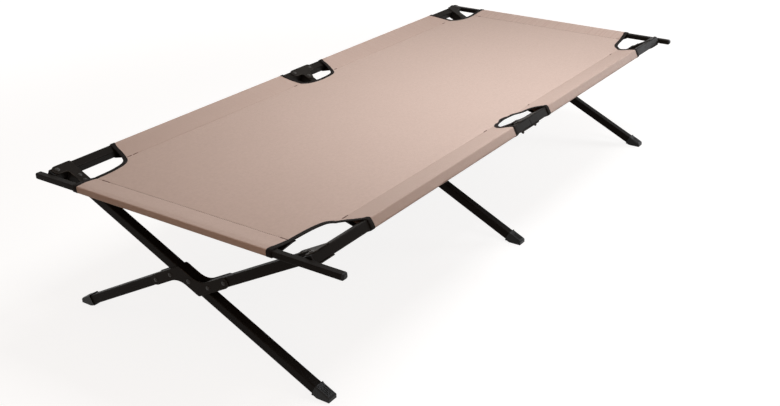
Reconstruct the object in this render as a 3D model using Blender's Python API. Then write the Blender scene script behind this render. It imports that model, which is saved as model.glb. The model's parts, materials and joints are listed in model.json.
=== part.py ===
"""A folding camping cot in metres, +Z up, standing on the floor at z = 0.

Two side rails stand on three pairs of crossed legs. Each pair has one straight leg, fixed under
the far rail, and one leg in two offset halves, fixed under the near rail. Stepped plates carry the
halves past the straight leg, and the rivet in their middle is the hinge that the cot folds on.
A bar hangs on pegs at each end and stretches the cloth. +X is the head end, -Y the near side.
"""

import math

import bmesh
import bpy
from mathutils import Matrix, Vector

# Side rails and leg tubes
RAIL_LENGTH = 1.950
RAIL_SPACING = 0.802  # between the rails' centre lines
RAIL_HEIGHT = 0.3774  # of the rails' centre lines above the floor
RAIL_SPLIT = 0.002  # open joint between the two halves of a rail
TUBE_SIZE = 0.025
TUBE_WALL = 0.0012
TUBE_ROUND = 0.0025
LEG_INSET = 0.050  # end leg's centre line from the rail's end
LEG_TOP_GAP = 0.002  # between a leg's top end and the side of its rail
SEAT = 0.0003  # clearance where one piece sits on another

# Crossing of the legs
PASS_GAP = 0.0035  # between the straight leg and a half leg beside it, when folded
CROSS_GAP = 0.0012  # between the straight leg and the end of a half leg, when set up
STEP_RIVET_EDGE = 0.0075  # inner rivet of an arm from its half leg's end
STEP_RIVET_PITCH = 0.0592  # from the inner rivet of an arm to the outer
STEP_BAND = 0.0165  # half width of the stepped plate where it lies along the straight leg
STEP_CORNER = 0.010
STEP_FILLET = 0.055

# Plates and rivets
PLATE = 0.002
PLATE_HALF = 0.014  # half the width of every plate's arms
CORNER_RIVET_FROM_END = 0.0145  # large rivet of a corner plate from the rail's end
CORNER_LEG_RIVETS = (0.041, 0.061)  # from the rail's centre line, down the leg
CORNER_ARM = 0.073  # length of a corner plate down the leg
CORNER_FILLET = 0.008
CORNER_ROUND = 0.005
MIDDLE_RAIL_RIVET = 0.037  # each side of the leg
MIDDLE_LEG_RIVET = 0.030
MIDDLE_FILLET = 0.010
RIVET_SHAFT = 0.003
RIVET_HOLE_GAP = 0.0003
RIVET_HEAD = 0.0055
PIVOT_HEAD = 0.0065  # the large rivets at the corners and at the crossings
HEAD_RISE = 0.0018
HEAD_EDGE = 0.0004  # straight side of a head, below its dome
HEAD_SHOULDER = (0.7, 0.8)  # shares of a head's radius and rise where its dome turns
TAIL_HEAD = 0.005
TAIL_RISE = 0.0012
TAIL_CHAMFER = 0.001

# Plastic feet
FOOT_WALL = 0.0017
FOOT_FLOOR = 0.002  # plastic below the tube's lowest edge
FOOT_GRIP = 0.010  # sleeve's length over the tube
FOOT_TOE = 0.007  # end face outside the point where the leg's centre line meets the floor
FOOT_CHAMFER = 0.0025
FOOT_COLLAR = 0.0008
FOOT_COLLAR_LENGTH = 0.0035
FOOT_PLUG = 0.022
GROOVES = 4
GROOVE_PITCH = 0.005
GROOVE_WIDTH = 0.002
GROOVE_DEPTH = 0.001

# Rail plugs with their pegs
FLANGE = 0.0022
PLUG_DEPTH = 0.022
PEG_RADIUS = 0.004
PEG_LENGTH = 0.012
PEG_STUB = 0.0012

# End bars
BAR_WIDTH = 0.0174  # along X
BAR_DEPTH = 0.015  # along Z
BAR_WALL = 0.0012
BAR_ROUND = 0.002
BAR_GAP = 0.0015  # between a rail plug's flange and the bar
FOOT_BAR_PAST_NEAR = 0.1015  # bar ends past the rails' centre lines
FOOT_BAR_PAST_FAR = 0.0360
HEAD_BAR_PAST_NEAR = 0.0520
HEAD_BAR_PAST_FAR = 0.0390
CAP_HEAD = 0.005
CAP_CHAMFER = 0.003
CAP_PLUG = 0.016

# Cloth
CLOTH = 0.0012
SLEEVE_REACH = 0.0575  # inner point of a side sleeve from its rail's centre line
POCKET_REACH = 0.052  # inner point of an end pocket from its bar's centre line
CORNER_CUT = 0.198  # cut-outs at the corners: length from the bar's centre line
CORNER_CUT_DEPTH = 0.090  # from the rail's centre line, where the cut-out starts
CORNER_CUT_AT_BAR = 0.097
CORNER_CUT_ROUND = 0.075
MIDDLE_CUT = (-0.088, 0.102)  # cut-outs at the middle brackets: foot end and head end
MIDDLE_CUT_DEPTH = {"near": 0.066, "far": 0.082}
MIDDLE_CUT_ROUND = 0.055

# Roundness
RIVET_SIDES = 8
PEG_SIDES = 16
ARC_STEPS = 7
CUT_STEPS = 7
BORE_ROUND = 0.0004  # least rounding inside a tube
IN_LINE = 1e-12  # turn below which three points of an outline count as in line

# Worked out from the sizes above
RAIL_Y = RAIL_SPACING / 2
PIVOT_HEIGHT = RAIL_HEIGHT / 2
LEG_LENGTH = math.hypot(RAIL_SPACING, RAIL_HEIGHT)
HALF_OFFSET = TUBE_SIZE + PASS_GAP
PIVOT_REACH = math.sqrt((LEG_LENGTH / 2) ** 2 - HALF_OFFSET**2)
LEAN_FAR = math.atan2(RAIL_HEIGHT, RAIL_SPACING)
LEAN_NEAR = LEAN_FAR + math.asin(HALF_OFFSET / (LEG_LENGTH / 2))
CROSSING = LEAN_FAR + LEAN_NEAR  # angle between the legs of a pair
TUBE_HALF = TUBE_SIZE / 2
HALF_LEG_START = (
    TUBE_HALF + CROSS_GAP + (HALF_OFFSET + TUBE_HALF) * math.cos(CROSSING)
) / math.sin(CROSSING)
STEP_RIVET_INNER = HALF_LEG_START + STEP_RIVET_EDGE
STEP_RIVET_OUTER = STEP_RIVET_INNER + STEP_RIVET_PITCH
BORE_HALF = TUBE_HALF - TUBE_WALL
LEG_TOP = TUBE_HALF + LEG_TOP_GAP
PLATE_IN = TUBE_HALF + SEAT
PLATE_OUT = PLATE_IN + PLATE
RAIL_END = RAIL_LENGTH / 2
END_LEG_X = RAIL_END - LEG_INSET
CORNER_RIVET = LEG_INSET - CORNER_RIVET_FROM_END
HOLE_RADIUS = RIVET_SHAFT + RIVET_HOLE_GAP
FLANGE_OUT = RAIL_END + SEAT + FLANGE
BAR_IN = FLANGE_OUT + BAR_GAP
BAR_X = BAR_IN + BAR_WIDTH / 2
BARS_PAST_NEAR = max(FOOT_BAR_PAST_NEAR, HEAD_BAR_PAST_NEAR)
BARS_PAST_FAR = max(FOOT_BAR_PAST_FAR, HEAD_BAR_PAST_FAR)
FRAME_SHIFT = (BARS_PAST_NEAR - BARS_PAST_FAR) / 2
SHEET_TOP = RAIL_HEIGHT + CLOTH / 2  # the taut sheet lies level with the tubes' centre lines
ENDS = {"foot": -1, "head": 1}
LEGS = {"foot": -END_LEG_X, "middle": 0.0, "head": END_LEG_X}


# Materials

def paint(name, color, roughness, metallic=0.0):
    material = bpy.data.materials.new(name)
    material.use_nodes = True
    shader = material.node_tree.nodes["Principled BSDF"]
    shader.inputs["Base Color"].default_value = (*color, 1.0)
    shader.inputs["Roughness"].default_value = roughness
    shader.inputs["Metallic"].default_value = metallic
    return material


def make_materials():
    return {
        "tube_coat": paint("tube_coat", (0.020, 0.018, 0.016), 0.42, 0.2),
        "plate_coat": paint("plate_coat", (0.026, 0.024, 0.022), 0.36, 0.3),
        "black_plastic": paint("black_plastic", (0.012, 0.012, 0.012), 0.5),
        "canvas": paint("canvas", (0.49, 0.37, 0.30), 0.92),
    }


# Outlines

def arc(center, radius, start, end, steps):
    """Points on a round from one angle to another, in degrees."""
    angles = [math.radians(start + (end - start) * i / steps) for i in range(steps + 1)]
    return [(center[0] + radius * math.cos(a), center[1] + radius * math.sin(a)) for a in angles]


def rounded_box_outline(half_a, half_b, radius, steps=2):
    corners = ((1, 1, 0), (-1, 1, 90), (-1, -1, 180), (1, -1, 270))
    points = []
    for side_a, side_b, start in corners:
        center = (side_a * (half_a - radius), side_b * (half_b - radius))
        points += arc(center, radius, start, start + 90, steps)
    return points


def hull(points):
    """The convex outline round some points, anticlockwise."""
    ordered = sorted(set((round(a, 7), round(b, 7)) for a, b in points))

    def chain(run):
        kept = []
        for p in run:
            while len(kept) > 1:
                (ax, ay), (bx, by) = kept[-2], kept[-1]
                if (bx - ax) * (p[1] - ay) - (by - ay) * (p[0] - ax) > IN_LINE:
                    break
                kept.pop()
            kept.append(p)
        return kept[:-1]

    return chain(ordered) + chain(ordered[::-1])


def grow(outline, distance):
    """A convex anticlockwise outline moved outwards, with its corners kept sharp."""
    grown = []
    count = len(outline)
    for i, here in enumerate(outline):
        before = Vector(here) - Vector(outline[i - 1])
        after = Vector(outline[(i + 1) % count]) - Vector(here)
        normal_a = Vector((before.y, -before.x)).normalized()
        normal_b = Vector((after.y, -after.x)).normalized()
        middle = (normal_a + normal_b).normalized()
        grown.append(tuple(Vector(here) + middle * distance / middle.dot(normal_a)))
    return grown


def corner_plate_outline():
    """Seen from above: first number towards the rail's end, second down the leg."""
    w = PLATE_HALF
    turn = w + CORNER_FILLET
    inner = w - CORNER_ROUND
    tip = CORNER_ARM - CORNER_ROUND
    outline = arc((CORNER_RIVET, 0), w, -90, 90, ARC_STEPS)
    outline += arc((turn, turn), CORNER_FILLET, 270, 180, 3)
    outline += arc((inner, tip), CORNER_ROUND, 0, 90, 2)
    outline += arc((-inner, tip), CORNER_ROUND, 90, 180, 2)
    outline += arc((-inner, -inner), CORNER_ROUND, 180, 270, 2)
    return outline


def middle_plate_outline():
    w = PLATE_HALF
    turn = w + MIDDLE_FILLET
    outline = arc((MIDDLE_RAIL_RIVET, 0), w, -90, 90, ARC_STEPS)
    outline += arc((turn, turn), MIDDLE_FILLET, 270, 180, 3)
    outline += arc((0, max(MIDDLE_LEG_RIVET, turn)), w, 0, 180, ARC_STEPS)
    outline += arc((-turn, turn), MIDDLE_FILLET, 360, 270, 3)
    outline += arc((-MIDDLE_RAIL_RIVET, 0), w, 90, 270, ARC_STEPS)
    return outline


def fillet(before, corner, after, radius, steps):
    """Points on the round that takes a corner's place between its two neighbours."""
    back = (Vector(before) - Vector(corner)).normalized()
    on = (Vector(after) - Vector(corner)).normalized()
    half = back.angle(on) / 2
    center = Vector(corner) + (back + on).normalized() * radius / math.sin(half)
    first = Vector(corner) + back * radius / math.tan(half) - center
    sweep = math.copysign(math.pi - 2 * half, on.x * back.y - on.y * back.x)
    return [tuple(center + Matrix.Rotation(sweep * i / steps, 2) @ first) for i in range(steps + 1)]


def stepped_plate_outline():
    """Along the leg and across it, from the pivot.

    One arm lies under each half leg, and the band between them runs along the straight leg.
    """
    w = PLATE_HALF

    def on_band_edge(side, across):
        return (side * STEP_BAND + across * math.cos(CROSSING)) / math.sin(CROSSING), across

    low, high = HALF_OFFSET - w, HALF_OFFSET + w
    inner, outer = on_band_edge(1, low), on_band_edge(-1, high)
    next_inner = (-inner[0], -inner[1])
    half = fillet(on_band_edge(1, -high), inner, (STEP_RIVET_OUTER, low), STEP_FILLET, CUT_STEPS)
    half += arc((STEP_RIVET_OUTER, HALF_OFFSET), w, -90, 90, ARC_STEPS)
    half += fillet((STEP_RIVET_OUTER, high), outer, next_inner, STEP_CORNER, 3)
    return half + [(-a, -b) for a, b in half]


# Mesh pieces

def add_prism(bm, outline, low, high, to_space):
    """A closed prism on an outline; to_space turns (a, b, height) into a point."""
    rings = [[bm.verts.new(to_space(a, b, level)) for a, b in outline] for level in (low, high)]
    bm.faces.new(rings[0][::-1])
    bm.faces.new(rings[1])
    for i in range(len(outline)):
        bm.faces.new((rings[0][i - 1], rings[0][i], rings[1][i], rings[1][i - 1]))


def add_loft(bm, sections, to_space):
    """A closed body through (outline, height) sections that have the same count of points."""
    rings = [[bm.verts.new(to_space(a, b, level)) for a, b in outline] for outline, level in sections]
    bm.faces.new(rings[0][::-1])
    bm.faces.new(rings[-1])
    for lower, upper in zip(rings, rings[1:]):
        for i in range(len(lower)):
            bm.faces.new((lower[i - 1], lower[i], upper[i], upper[i - 1]))


def add_hollow(bm, outer, inner, low, high, to_space):
    """A prism with a through opening; both outlines have the same count of points."""
    loops = [
        [bm.verts.new(to_space(a, b, level)) for a, b in outline]
        for outline, level in ((outer, low), (outer, high), (inner, high), (inner, low))
    ]
    for here, there in zip(loops, loops[1:] + loops[:1]):
        for i in range(len(outer)):
            bm.faces.new((here[i - 1], here[i], there[i], there[i - 1]))


def add_turned(bm, profile, sides, to_space):
    """A turned body: profile runs from one pole to the other as (radius, height)."""
    rings = []
    for radius, height in profile:
        if radius == 0:
            rings.append([bm.verts.new(to_space(0, 0, height))])
            continue
        turns = [2 * math.pi * (i + 0.5) / sides for i in range(sides)]
        rings.append([bm.verts.new(to_space(radius * math.cos(t), radius * math.sin(t), height)) for t in turns])
    for lower, upper in zip(rings, rings[1:]):
        for i in range(sides):
            ends = [lower[i - 1], lower[i]] if len(lower) > 1 else [lower[0]]
            ends += [upper[i], upper[i - 1]] if len(upper) > 1 else [upper[0]]
            bm.faces.new(ends)


def along_x(a, b, level):
    return level, a, b


def along_y(a, b, level):
    return a, level, b


def along_z(a, b, level):
    return a, b, level


def shifted(to_space, x=0.0, y=0.0, z=0.0):
    def place(a, b, level):
        px, py, pz = to_space(a, b, level)
        return px + x, py + y, pz + z

    return place


# Objects

def add_empty(name, parent, location, tilt=0.0):
    empty = bpy.data.objects.new(name, None)
    bpy.context.scene.collection.objects.link(empty)
    empty.parent = parent
    empty.location = location
    empty.rotation_euler = (tilt, 0, 0)
    return empty


def add_object(name, bm, parent, location=(0, 0, 0), turn=0.0):
    bmesh.ops.recalc_face_normals(bm, faces=bm.faces)
    mesh = bpy.data.meshes.new(name)
    bm.to_mesh(mesh)
    bm.free()
    obj = bpy.data.objects.new(name, mesh)
    bpy.context.scene.collection.objects.link(obj)
    obj.parent = parent
    obj.location = location
    obj.rotation_euler = (0, 0, turn)
    return obj


def finish(obj, material):
    obj.data.materials.append(material)
    obj.data.shade_smooth()
    obj.data.set_sharp_from_angle(angle=math.radians(35))
    return obj


def shape_by(obj, helper, operation):
    helper.hide_render = True
    helper.display_type = "WIRE"
    modifier = obj.modifiers.new(helper.name, "BOOLEAN")
    modifier.operation = operation
    modifier.object = helper
    modifier.solver = "EXACT"


def drill(obj, holes, radius, depth=TUBE_SIZE, sides=RIVET_SIDES):
    """Holes through obj: each is (x, y, z, axis) in the space of obj's parent."""
    bm = bmesh.new()
    for x, y, z, axis in holes:
        to_space = shifted({"x": along_x, "z": along_z}[axis], x, y, z)
        add_turned(bm, [(0, -depth), (radius, -depth), (radius, depth), (0, depth)], sides, to_space)
    shape_by(obj, add_object(obj.name + "_holes", bm, obj.parent), "DIFFERENCE")


# Places of the rivets, down the leg and along it

def rail_rivets(leg):
    """(x, distance down the leg) of the rivets at the top of a leg."""
    x = LEGS[leg]
    if leg == "middle":
        return [(x - MIDDLE_RAIL_RIVET, 0), (x + MIDDLE_RAIL_RIVET, 0), (x, MIDDLE_LEG_RIVET)]
    outer = x + math.copysign(CORNER_RIVET, x)
    return [(outer, 0)] + [(x, down) for down in CORNER_LEG_RIVETS]


def step_rivets():
    """(along the near leg from its rail, across it) of the rivets of a stepped plate."""
    upper = [(PIVOT_REACH - d, 0) for d in (STEP_RIVET_OUTER, STEP_RIVET_INNER)]
    lower = [(PIVOT_REACH + d, 2 * HALF_OFFSET) for d in (STEP_RIVET_INNER, STEP_RIVET_OUTER)]
    return upper + [(PIVOT_REACH, HALF_OFFSET)] + lower


# Tubes

def square_tube(bm, low, high, to_space, half_a=TUBE_HALF, half_b=TUBE_HALF, wall=TUBE_WALL, radius=TUBE_ROUND):
    outer = rounded_box_outline(half_a, half_b, radius)
    inner_round = max(radius - wall, BORE_ROUND)
    inner = rounded_box_outline(half_a - wall, half_b - wall, inner_round)
    add_hollow(bm, outer, inner, low, high, to_space)


def add_rails(sides, coat):
    for side, (parent, down) in sides.items():
        for end, sign in ENDS.items():
            bm = bmesh.new()
            span = sorted((sign * RAIL_SPLIT / 2, sign * RAIL_END))
            square_tube(bm, span[0], span[1], along_x)
            rail = finish(add_object(f"{side}_rail_{end}", bm, parent), coat)
            rivets = [r for r in rail_rivets(end) + rail_rivets("middle") if r[1] == 0 and r[0] * sign > 0]
            drill(rail, [(x, 0, 0, "z") for x, _ in rivets], HOLE_RADIUS)


def foot_stop(lean):
    """Distance from a leg's meeting point with the floor up to its tube's end."""
    return (FOOT_FLOOR + TUBE_HALF * math.cos(lean)) / math.sin(lean)


def add_legs(sides, coat):
    far, near = sides["far"][0], sides["near"][0]
    for leg, x in LEGS.items():
        top_rivets = [(x, down) for rx, down in rail_rivets(leg) if down > 0]
        bm = bmesh.new()
        square_tube(bm, foot_stop(LEAN_FAR) - LEG_LENGTH, -LEG_TOP, shifted(along_y, x))
        straight = finish(add_object(f"straight_leg_{leg}", bm, far), coat)
        holes = [(x, -down, 0, "z") for _, down in top_rivets]
        drill(straight, holes + [(x, -LEG_LENGTH / 2, 0, "x")], HOLE_RADIUS)

        bm = bmesh.new()
        square_tube(bm, LEG_TOP, PIVOT_REACH - HALF_LEG_START, shifted(along_y, x))
        upper = finish(add_object(f"upper_half_leg_{leg}", bm, near), coat)
        holes = [(x, down, 0, "z") for _, down in top_rivets]
        holes += [(x, y, z, "x") for y, z in step_rivets() if z == 0]
        drill(upper, holes, HOLE_RADIUS)

        bm = bmesh.new()
        low = PIVOT_REACH + HALF_LEG_START
        high = 2 * PIVOT_REACH - foot_stop(LEAN_NEAR)
        square_tube(bm, low, high, shifted(along_y, x, 0, 2 * HALF_OFFSET))
        lower = finish(add_object(f"lower_half_leg_{leg}", bm, near), coat)
        holes = [(x, y, z, "x") for y, z in step_rivets() if z > HALF_OFFSET]
        drill(lower, holes, HOLE_RADIUS)


# Plates and rivets

def rivet_profile(head):
    """Seen along the rivet, from its closed tail to the middle of its domed head."""
    tail = -PLATE_OUT - SEAT
    return [
        (0, tail - TAIL_RISE),
        (TAIL_HEAD - TAIL_CHAMFER, tail - TAIL_RISE),
        (TAIL_HEAD, tail),
        (RIVET_SHAFT, tail),
        (RIVET_SHAFT, PLATE_IN + PLATE / 2),
        (head, PLATE_IN + PLATE / 2),
        (head, PLATE_OUT + HEAD_EDGE),
        (head * HEAD_SHOULDER[0], PLATE_OUT + HEAD_RISE * HEAD_SHOULDER[1]),
        (0, PLATE_OUT + HEAD_RISE),
    ]


def add_rail_plates(sides, coat):
    for side, (parent, down) in sides.items():
        for leg, leg_x in LEGS.items():
            outline = middle_plate_outline() if leg == "middle" else corner_plate_outline()
            sign = -1 if leg_x < 0 else 1

            def to_plate(a, b, level):
                return leg_x + sign * a, down * b, level

            bm = bmesh.new()
            add_prism(bm, outline, PLATE_IN, PLATE_OUT, to_plate)
            top = finish(add_object(f"{side}_{leg}_bracket_top", bm, parent), coat)
            bm = bmesh.new()
            for x, along in rail_rivets(leg):
                head = PIVOT_HEAD if leg != "middle" and along == 0 else RIVET_HEAD
                add_turned(bm, rivet_profile(head), RIVET_SIDES, shifted(along_z, x, down * along))
            shape_by(top, add_object(top.name + "_rivets", bm, parent), "UNION")

            bm = bmesh.new()
            add_prism(bm, outline, -PLATE_OUT, -PLATE_IN, to_plate)
            bottom = finish(add_object(f"{side}_{leg}_bracket_bottom", bm, parent), coat)
            drill(bottom, [(x, down * along, 0, "z") for x, along in rail_rivets(leg)], HOLE_RADIUS)


def add_stepped_plates(near, coat):
    outline = stepped_plate_outline()
    for leg, leg_x in LEGS.items():
        def to_plate(a, b, level):
            return leg_x - level, PIVOT_REACH + a, HALF_OFFSET + b

        bm = bmesh.new()
        add_prism(bm, outline, PLATE_IN, PLATE_OUT, to_plate)
        front = finish(add_object(f"{leg}_scissor_plate_front", bm, near), coat)
        bm = bmesh.new()
        for y, z in step_rivets():
            def to_rivet(a, b, level):
                return leg_x - level, y + a, z + b

            head = PIVOT_HEAD if y == PIVOT_REACH else RIVET_HEAD
            add_turned(bm, rivet_profile(head), RIVET_SIDES, to_rivet)
        shape_by(front, add_object(front.name + "_rivets", bm, near), "UNION")

        bm = bmesh.new()
        add_prism(bm, outline, -PLATE_OUT, -PLATE_IN, to_plate)
        back = finish(add_object(f"{leg}_scissor_plate_back", bm, near), coat)
        drill(back, [(leg_x, y, z, "x") for y, z in step_rivets()], HOLE_RADIUS)


# Feet: up the leg is +Y here, and the origin is where the leg's centre line meets the floor

def cut_away(bm, point, normal):
    """Removes what lies on the normal's side of a plane and closes the cut."""
    geometry = bm.verts[:] + bm.edges[:] + bm.faces[:]
    cut = bmesh.ops.bisect_plane(bm, geom=geometry, plane_co=point, plane_no=normal, clear_outer=True)
    edges = [e for e in cut["geom_cut"] if isinstance(e, bmesh.types.BMEdge)]
    bmesh.ops.edgeloop_fill(bm, edges=edges)


def add_foot(name, parent, lean, location, turn, plastic):
    half = TUBE_HALF + SEAT + FOOT_WALL
    stop = foot_stop(lean)
    top = stop + FOOT_GRIP
    body = rounded_box_outline(half, half, FOOT_CHAMFER, 1)
    collar = rounded_box_outline(half + FOOT_COLLAR, half + FOOT_COLLAR, FOOT_CHAMFER, 1)
    bm = bmesh.new()
    collar_low = top - FOOT_COLLAR_LENGTH
    below = -2 * TUBE_SIZE
    sections = [(body, below), (body, collar_low - FOOT_COLLAR), (collar, collar_low), (collar, top)]
    add_loft(bm, sections, along_y)
    up = Vector((0, math.sin(lean), math.cos(lean)))
    outward = Vector((0, -math.cos(lean), math.sin(lean)))
    cut_away(bm, (0, 0, 0), -up)
    cut_away(bm, outward * FOOT_TOE, outward)
    toe_top = Vector((0, 0, half)) + Vector((0, 1, 0)) * FOOT_CHAMFER
    cut_away(bm, toe_top, (outward + Vector((0, 0, 1))).normalized())
    foot = finish(add_object(name, bm, parent, location, turn), plastic)

    bm = bmesh.new()
    socket = TUBE_HALF + SEAT
    add_prism(bm, rounded_box_outline(socket, socket, TUBE_ROUND), stop - SEAT, top + TUBE_SIZE, along_y)
    for i in range(GROOVES):
        x = (i - (GROOVES - 1) / 2) * GROOVE_PITCH
        groove = [(x - GROOVE_WIDTH / 2, half - GROOVE_DEPTH), (x + GROOVE_WIDTH / 2, half - GROOVE_DEPTH)]
        groove += [(x + GROOVE_WIDTH / 2, half + TUBE_HALF), (x - GROOVE_WIDTH / 2, half + TUBE_HALF)]
        add_prism(bm, groove, 2 * FOOT_CHAMFER, stop - FOOT_CHAMFER, along_y)
    shape_by(foot, add_object(name + "_cuts", bm, parent, location, turn), "DIFFERENCE")

    bm = bmesh.new()
    plug = BORE_HALF - SEAT
    tip = plug - FOOT_CHAMFER / 2
    sections = [
        (rounded_box_outline(plug, plug, TUBE_WALL, 1), stop - TUBE_HALF / 2),
        (rounded_box_outline(plug, plug, TUBE_WALL, 1), stop + FOOT_PLUG - FOOT_CHAMFER),
        (rounded_box_outline(tip, tip, TUBE_WALL, 1), stop + FOOT_PLUG),
    ]
    add_loft(bm, sections, along_y)
    shape_by(foot, add_object(name + "_plug", bm, parent, location, turn), "UNION")


def add_feet(sides, plastic):
    for leg, x in LEGS.items():
        add_foot(f"near_leg_cap_{leg}", sides["far"][0], LEAN_FAR, (x, -LEG_LENGTH, 0), 0, plastic)
        end = (x, 2 * PIVOT_REACH, 2 * HALF_OFFSET)
        add_foot(f"far_leg_cap_{leg}", sides["near"][0], LEAN_NEAR, end, math.pi, plastic)


# Rail plugs and end bars

def add_rail_plugs(sides, plastic):
    for side, (parent, down) in sides.items():
        peg = PEG_LENGTH if side == "far" else PEG_STUB
        for end, sign in ENDS.items():
            def outwards(a, b, level):
                return sign * level, a, b

            bm = bmesh.new()
            inner = BORE_HALF - SEAT
            face = RAIL_END + SEAT
            sections = [
                (rounded_box_outline(inner - TUBE_WALL, inner - TUBE_WALL, TUBE_WALL, 1), face - PLUG_DEPTH),
                (rounded_box_outline(inner, inner, TUBE_WALL, 1), face - PLUG_DEPTH + TUBE_WALL),
                (rounded_box_outline(inner, inner, TUBE_WALL, 1), face),
                (rounded_box_outline(TUBE_HALF, TUBE_HALF, TUBE_ROUND, 1), face),
                (rounded_box_outline(TUBE_HALF, TUBE_HALF, TUBE_ROUND, 1), face + FLANGE / 2),
                (rounded_box_outline(TUBE_HALF - FLANGE / 2, TUBE_HALF - FLANGE / 2, TUBE_ROUND, 1), FLANGE_OUT),
            ]
            add_loft(bm, sections, outwards)
            plug = finish(add_object(f"{side}_rail_plug_{end}", bm, parent), plastic)
            bm = bmesh.new()
            tip = FLANGE_OUT + peg
            chamfer = min(FLANGE / 2, peg / 3)
            profile = [(0, face), (PEG_RADIUS, face), (PEG_RADIUS, tip - chamfer), (PEG_RADIUS - chamfer, tip), (0, tip)]
            add_turned(bm, profile, PEG_SIDES, outwards)
            shape_by(plug, add_object(plug.name + "_peg", bm, parent), "UNION")
            drill(plug, [(sign * (RAIL_END - CORNER_RIVET_FROM_END), 0, 0, "z")], HOLE_RADIUS)


def add_end_bar(end, sign, past_near, past_far, cot, coat, plastic):
    """The bar's own origin is on the far peg that it swings on."""
    axis = add_empty(f"{end}_bar_axis", cot, (sign * BAR_X, RAIL_Y, RAIL_HEIGHT))
    low = -RAIL_SPACING - past_near + CAP_HEAD + SEAT
    high = past_far - CAP_HEAD - SEAT
    bm = bmesh.new()
    square_tube(bm, low, high, along_y, BAR_WIDTH / 2, BAR_DEPTH / 2, BAR_WALL, BAR_ROUND)
    bar = finish(add_object(f"{end}_bar", bm, axis), coat)
    bm = bmesh.new()
    radius = PEG_RADIUS + RIVET_HOLE_GAP
    for y in (0, -RAIL_SPACING):
        def inwards(a, b, level):
            return -sign * level, y + a, b

        profile = [(0, 0), (radius, 0), (radius, BAR_WIDTH), (0, BAR_WIDTH)]
        add_turned(bm, profile, PEG_SIDES, inwards)
    shape_by(bar, add_object(bar.name + "_peg_holes", bm, axis), "DIFFERENCE")
    for side, face, way in (("near", low - SEAT, -1), ("far", high + SEAT, 1)):
        add_bar_cap(f"{end}_bar_cap_{side}", axis, face, way, plastic)


def add_bar_cap(name, axis, face, way, plastic):
    half_a, half_b = BAR_WIDTH / 2, BAR_DEPTH / 2
    plug_a, plug_b = half_a - BAR_WALL - SEAT, half_b - BAR_WALL - SEAT

    def outwards(a, b, level):
        return a, face + way * level, b

    bm = bmesh.new()
    sections = [
        (rounded_box_outline(plug_a - BAR_WALL, plug_b - BAR_WALL, BAR_WALL, 1), -CAP_PLUG),
        (rounded_box_outline(plug_a, plug_b, BAR_WALL, 1), BAR_WALL - CAP_PLUG),
        (rounded_box_outline(plug_a, plug_b, BAR_WALL, 1), 0),
        (rounded_box_outline(half_a, half_b, BAR_ROUND, 1), 0),
        (rounded_box_outline(half_a, half_b, BAR_ROUND, 1), CAP_HEAD - CAP_CHAMFER),
        (rounded_box_outline(half_a - CAP_CHAMFER, half_b - CAP_CHAMFER, BAR_ROUND, 1), CAP_HEAD),
    ]
    add_loft(bm, sections, outwards)
    finish(add_object(name, bm, axis), plastic)


# Cloth

def sleeve_loops(down):
    """Inner and outer outline of the cloth round a rail, in the rail's own tilted space."""
    lean = LEAN_FAR if down < 0 else -LEAN_NEAR
    to_rail = Matrix.Rotation(-lean, 2)
    point = to_rail @ Vector((down * SLEEVE_REACH, 0))
    outline = hull(rounded_box_outline(TUBE_HALF, TUBE_HALF, TUBE_ROUND) + [tuple(point)])
    return grow(outline, SEAT), grow(outline, SEAT + CLOTH)


def sleeve_tip(down):
    """How far inboard of its rail's centre line a sleeve reaches."""
    lean = LEAN_FAR if down < 0 else -LEAN_NEAR
    from_rail = Matrix.Rotation(lean, 2)
    return max(down * (from_rail @ Vector(p)).x for p in sleeve_loops(down)[1])


def add_sleeves(sides, cloth):
    for side, (parent, down) in sides.items():
        inner, outer = sleeve_loops(down)
        for end, sign in ENDS.items():
            span = sorted((sign * (BAR_X - CORNER_CUT), MIDDLE_CUT[0 if sign < 0 else 1]))
            bm = bmesh.new()
            add_hollow(bm, outer, inner, span[0], span[1], along_x)
            finish(add_object(f"{side}_cloth_sleeve_{end}", bm, parent), cloth)


def pocket_loops():
    """Inner and outer outline of the cloth round an end bar, outwards and up from its centre."""
    bar = rounded_box_outline(BAR_WIDTH / 2, BAR_DEPTH / 2, BAR_ROUND)
    outline = hull(bar + [(-POCKET_REACH, 0)])
    return grow(outline, SEAT), grow(outline, SEAT + CLOTH)


def add_pockets(cot, cloth):
    inner, outer = pocket_loops()
    for end, sign in ENDS.items():
        def to_bar(a, b, level):
            return sign * (BAR_X + a), level, RAIL_HEIGHT + b

        reach = RAIL_Y - CORNER_CUT_AT_BAR
        bm = bmesh.new()
        add_hollow(bm, outer, inner, -reach, reach, to_bar)
        finish(add_object(f"{end}_cloth_pocket", bm, cot), cloth)


def round_in(share):
    """A quarter round: 1 where a cut starts, falling to 0 where it runs straight."""
    return 1 - math.sqrt(max(0.0, 1 - (1 - min(1.0, share)) ** 2))


def sheet_edge(side, x, seam_x, sleeve_edge):
    """Distance of the sheet's edge from the middle line at x."""
    low, high = MIDDLE_CUT
    if low < x < high:
        inner = RAIL_Y - MIDDLE_CUT_DEPTH[side]
        return inner + (sleeve_edge - inner) * round_in(min(x - low, high - x) / MIDDLE_CUT_ROUND)
    past = abs(x) - (BAR_X - CORNER_CUT)
    if past <= 0:
        return sleeve_edge
    share = past / (CORNER_CUT - BAR_X + seam_x)
    inner = RAIL_Y - CORNER_CUT_DEPTH - (CORNER_CUT_AT_BAR - CORNER_CUT_DEPTH) * share
    return inner + (sleeve_edge - inner) * round_in(past / CORNER_CUT_ROUND)


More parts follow.
